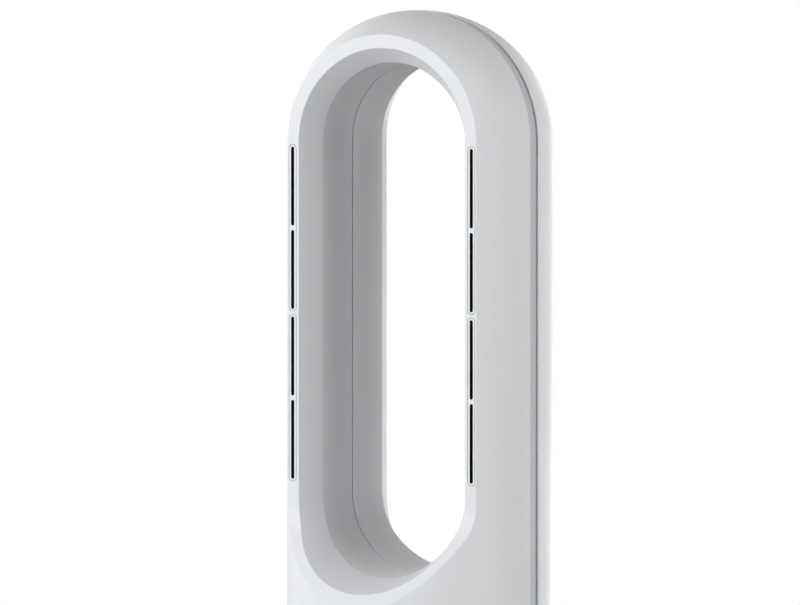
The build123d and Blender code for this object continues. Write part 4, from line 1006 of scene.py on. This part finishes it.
# %% The white room
ROOM_LIGHT = 0.03                    # strength of the light that the room adds
room = bpy.data.worlds.new("white_room")
bpy.context.scene.world = room
room.use_nodes = True
sky = room.node_tree
dim = sky.nodes["Background"]
dim.inputs["Color"].default_value = (*DAYLIGHT, 1)
dim.inputs["Strength"].default_value = ROOM_LIGHT
white = sky.nodes.new("ShaderNodeBackground")
white.inputs["Color"].default_value = (1, 1, 1, 1)
white.inputs["Strength"].default_value = 1.0
ray = sky.nodes.new("ShaderNodeLightPath")
seen = ray.outputs["Is Camera Ray"]
for other in ("Is Glossy Ray", "Is Transmission Ray"):
    either = sky.nodes.new("ShaderNodeMath")
    either.operation = "MAXIMUM"
    sky.links.new(seen, either.inputs[0])
    sky.links.new(ray.outputs[other], either.inputs[1])
    seen = either.outputs[0]
pick = sky.nodes.new("ShaderNodeMixShader")
sky.links.new(seen, pick.inputs[0])
sky.links.new(dim.outputs[0], pick.inputs[1])
sky.links.new(white.outputs[0], pick.inputs[2])
sky.links.new(pick.outputs[0], sky.nodes["World Output"].inputs["Surface"])
print(f"room light {ROOM_LIGHT}")

# %% [markdown]
# ### The floor
# The floor is a disc of pale paper. To the camera it melts into the white room with
# distance, and close to the fan it keeps the fan's soft shadow. It sends only a little
# light back up, as the far side of a real cove would.

# %% The paper floor
FLOOR_HUB, FLOOR_EDGE = 0.02, 3.0    # radii in metres
AROUND, OUTWARD = 96, 12             # grid steps


def paper_disc(around, outward):
    """Disc z = 0: points (r cos a, r sin a) from the hub to the edge and once round, and
    one face over the hub."""
    turned = np.linspace(0, 2 * np.pi, around + 1)[:-1]
    r, a = np.meshgrid(np.linspace(FLOOR_HUB, FLOOR_EDGE, outward + 1), turned)
    points = np.stack([r * np.cos(a), r * np.sin(a), 0 * r], axis=-1).reshape(-1, 3)
    index = np.arange(around * (outward + 1)).reshape(around, outward + 1)
    after = np.roll(index, -1, axis=0)
    corners = [index[:, :-1], index[:, 1:], after[:, 1:], after[:, :-1]]
    quads = np.stack(corners, axis=-1).reshape(-1, 4)
    mesh = bpy.data.meshes.new("floor")
    mesh.from_pydata(points.tolist(), [], quads.tolist() + [index[:, 0].tolist()])
    return mesh


PALE, DULL = (0.9, 0.9, 0.9), (0.35, 0.35, 0.35)           # to the camera, to other rays
MELT = {"From Min": 0.15, "From Max": 1.6, "To Min": 0.25, "To Max": 1.0}


def floor_paper():
    """Diffuse paper whose colour is paler to the camera, and that turns into plain white
    between 0.15 and 1.6 m from the fan, by the length of the object coordinates."""
    paper = moulded("floor_paper", PALE, 0.8)
    tree = paper.node_tree
    skin, out = tree.nodes["Principled BSDF"], tree.nodes["Material Output"]
    ray = tree.nodes.new("ShaderNodeLightPath")
    tone = tree.nodes.new("ShaderNodeMix")
    tone.data_type = "RGBA"
    tone.inputs["A"].default_value = (*DULL, 1)
    tone.inputs["B"].default_value = (*PALE, 1)
    tree.links.new(ray.outputs["Is Camera Ray"], tone.inputs["Factor"])
    tree.links.new(tone.outputs["Result"], skin.inputs["Base Color"])
    place = tree.nodes["Texture Coordinate"]
    length = tree.nodes.new("ShaderNodeVectorMath")
    length.operation = "LENGTH"
    tree.links.new(place.outputs["Object"], length.inputs[0])
    fade = tree.nodes.new("ShaderNodeMapRange")
    fade.interpolation_type = "SMOOTHSTEP"
    for socket, value in MELT.items():
        fade.inputs[socket].default_value = value
    tree.links.new(length.outputs["Value"], fade.inputs["Value"])
    only_eye = tree.nodes.new("ShaderNodeMath")
    only_eye.operation = "MULTIPLY"
    tree.links.new(fade.outputs["Result"], only_eye.inputs[0])
    tree.links.new(ray.outputs["Is Camera Ray"], only_eye.inputs[1])
    plain = tree.nodes.new("ShaderNodeEmission")
    melt = tree.nodes.new("ShaderNodeMixShader")
    tree.links.new(only_eye.outputs[0], melt.inputs[0])
    tree.links.new(skin.outputs[0], melt.inputs[1])
    tree.links.new(plain.outputs[0], melt.inputs[2])
    tree.links.new(melt.outputs[0], out.inputs["Surface"])
    return paper


floor = bpy.data.objects.new("floor", paper_disc(AROUND, OUTWARD))
floor.data.materials.append(floor_paper())
bpy.context.scene.collection.objects.link(floor)
print(f"floor {2 * FLOOR_EDGE} m across")

# %% [markdown]
# ## Finishes on
# Every solid of the frame comes with the name of its slot as its material. It now gets
# the finish for that slot, and only the gasket in the outer groove has one of its own.

# %% Finishes on
for name, node in nodes.items():
    wanted = [m.name.split(".")[0] for m in node.data.materials if m]
    slot_name = wanted[0] if wanted and wanted[0] in finish_of else "shell_white"
    node.data.materials.clear()
    node.data.materials.append(gasket_grey if name == "seam_gasket" else finish_of[slot_name])
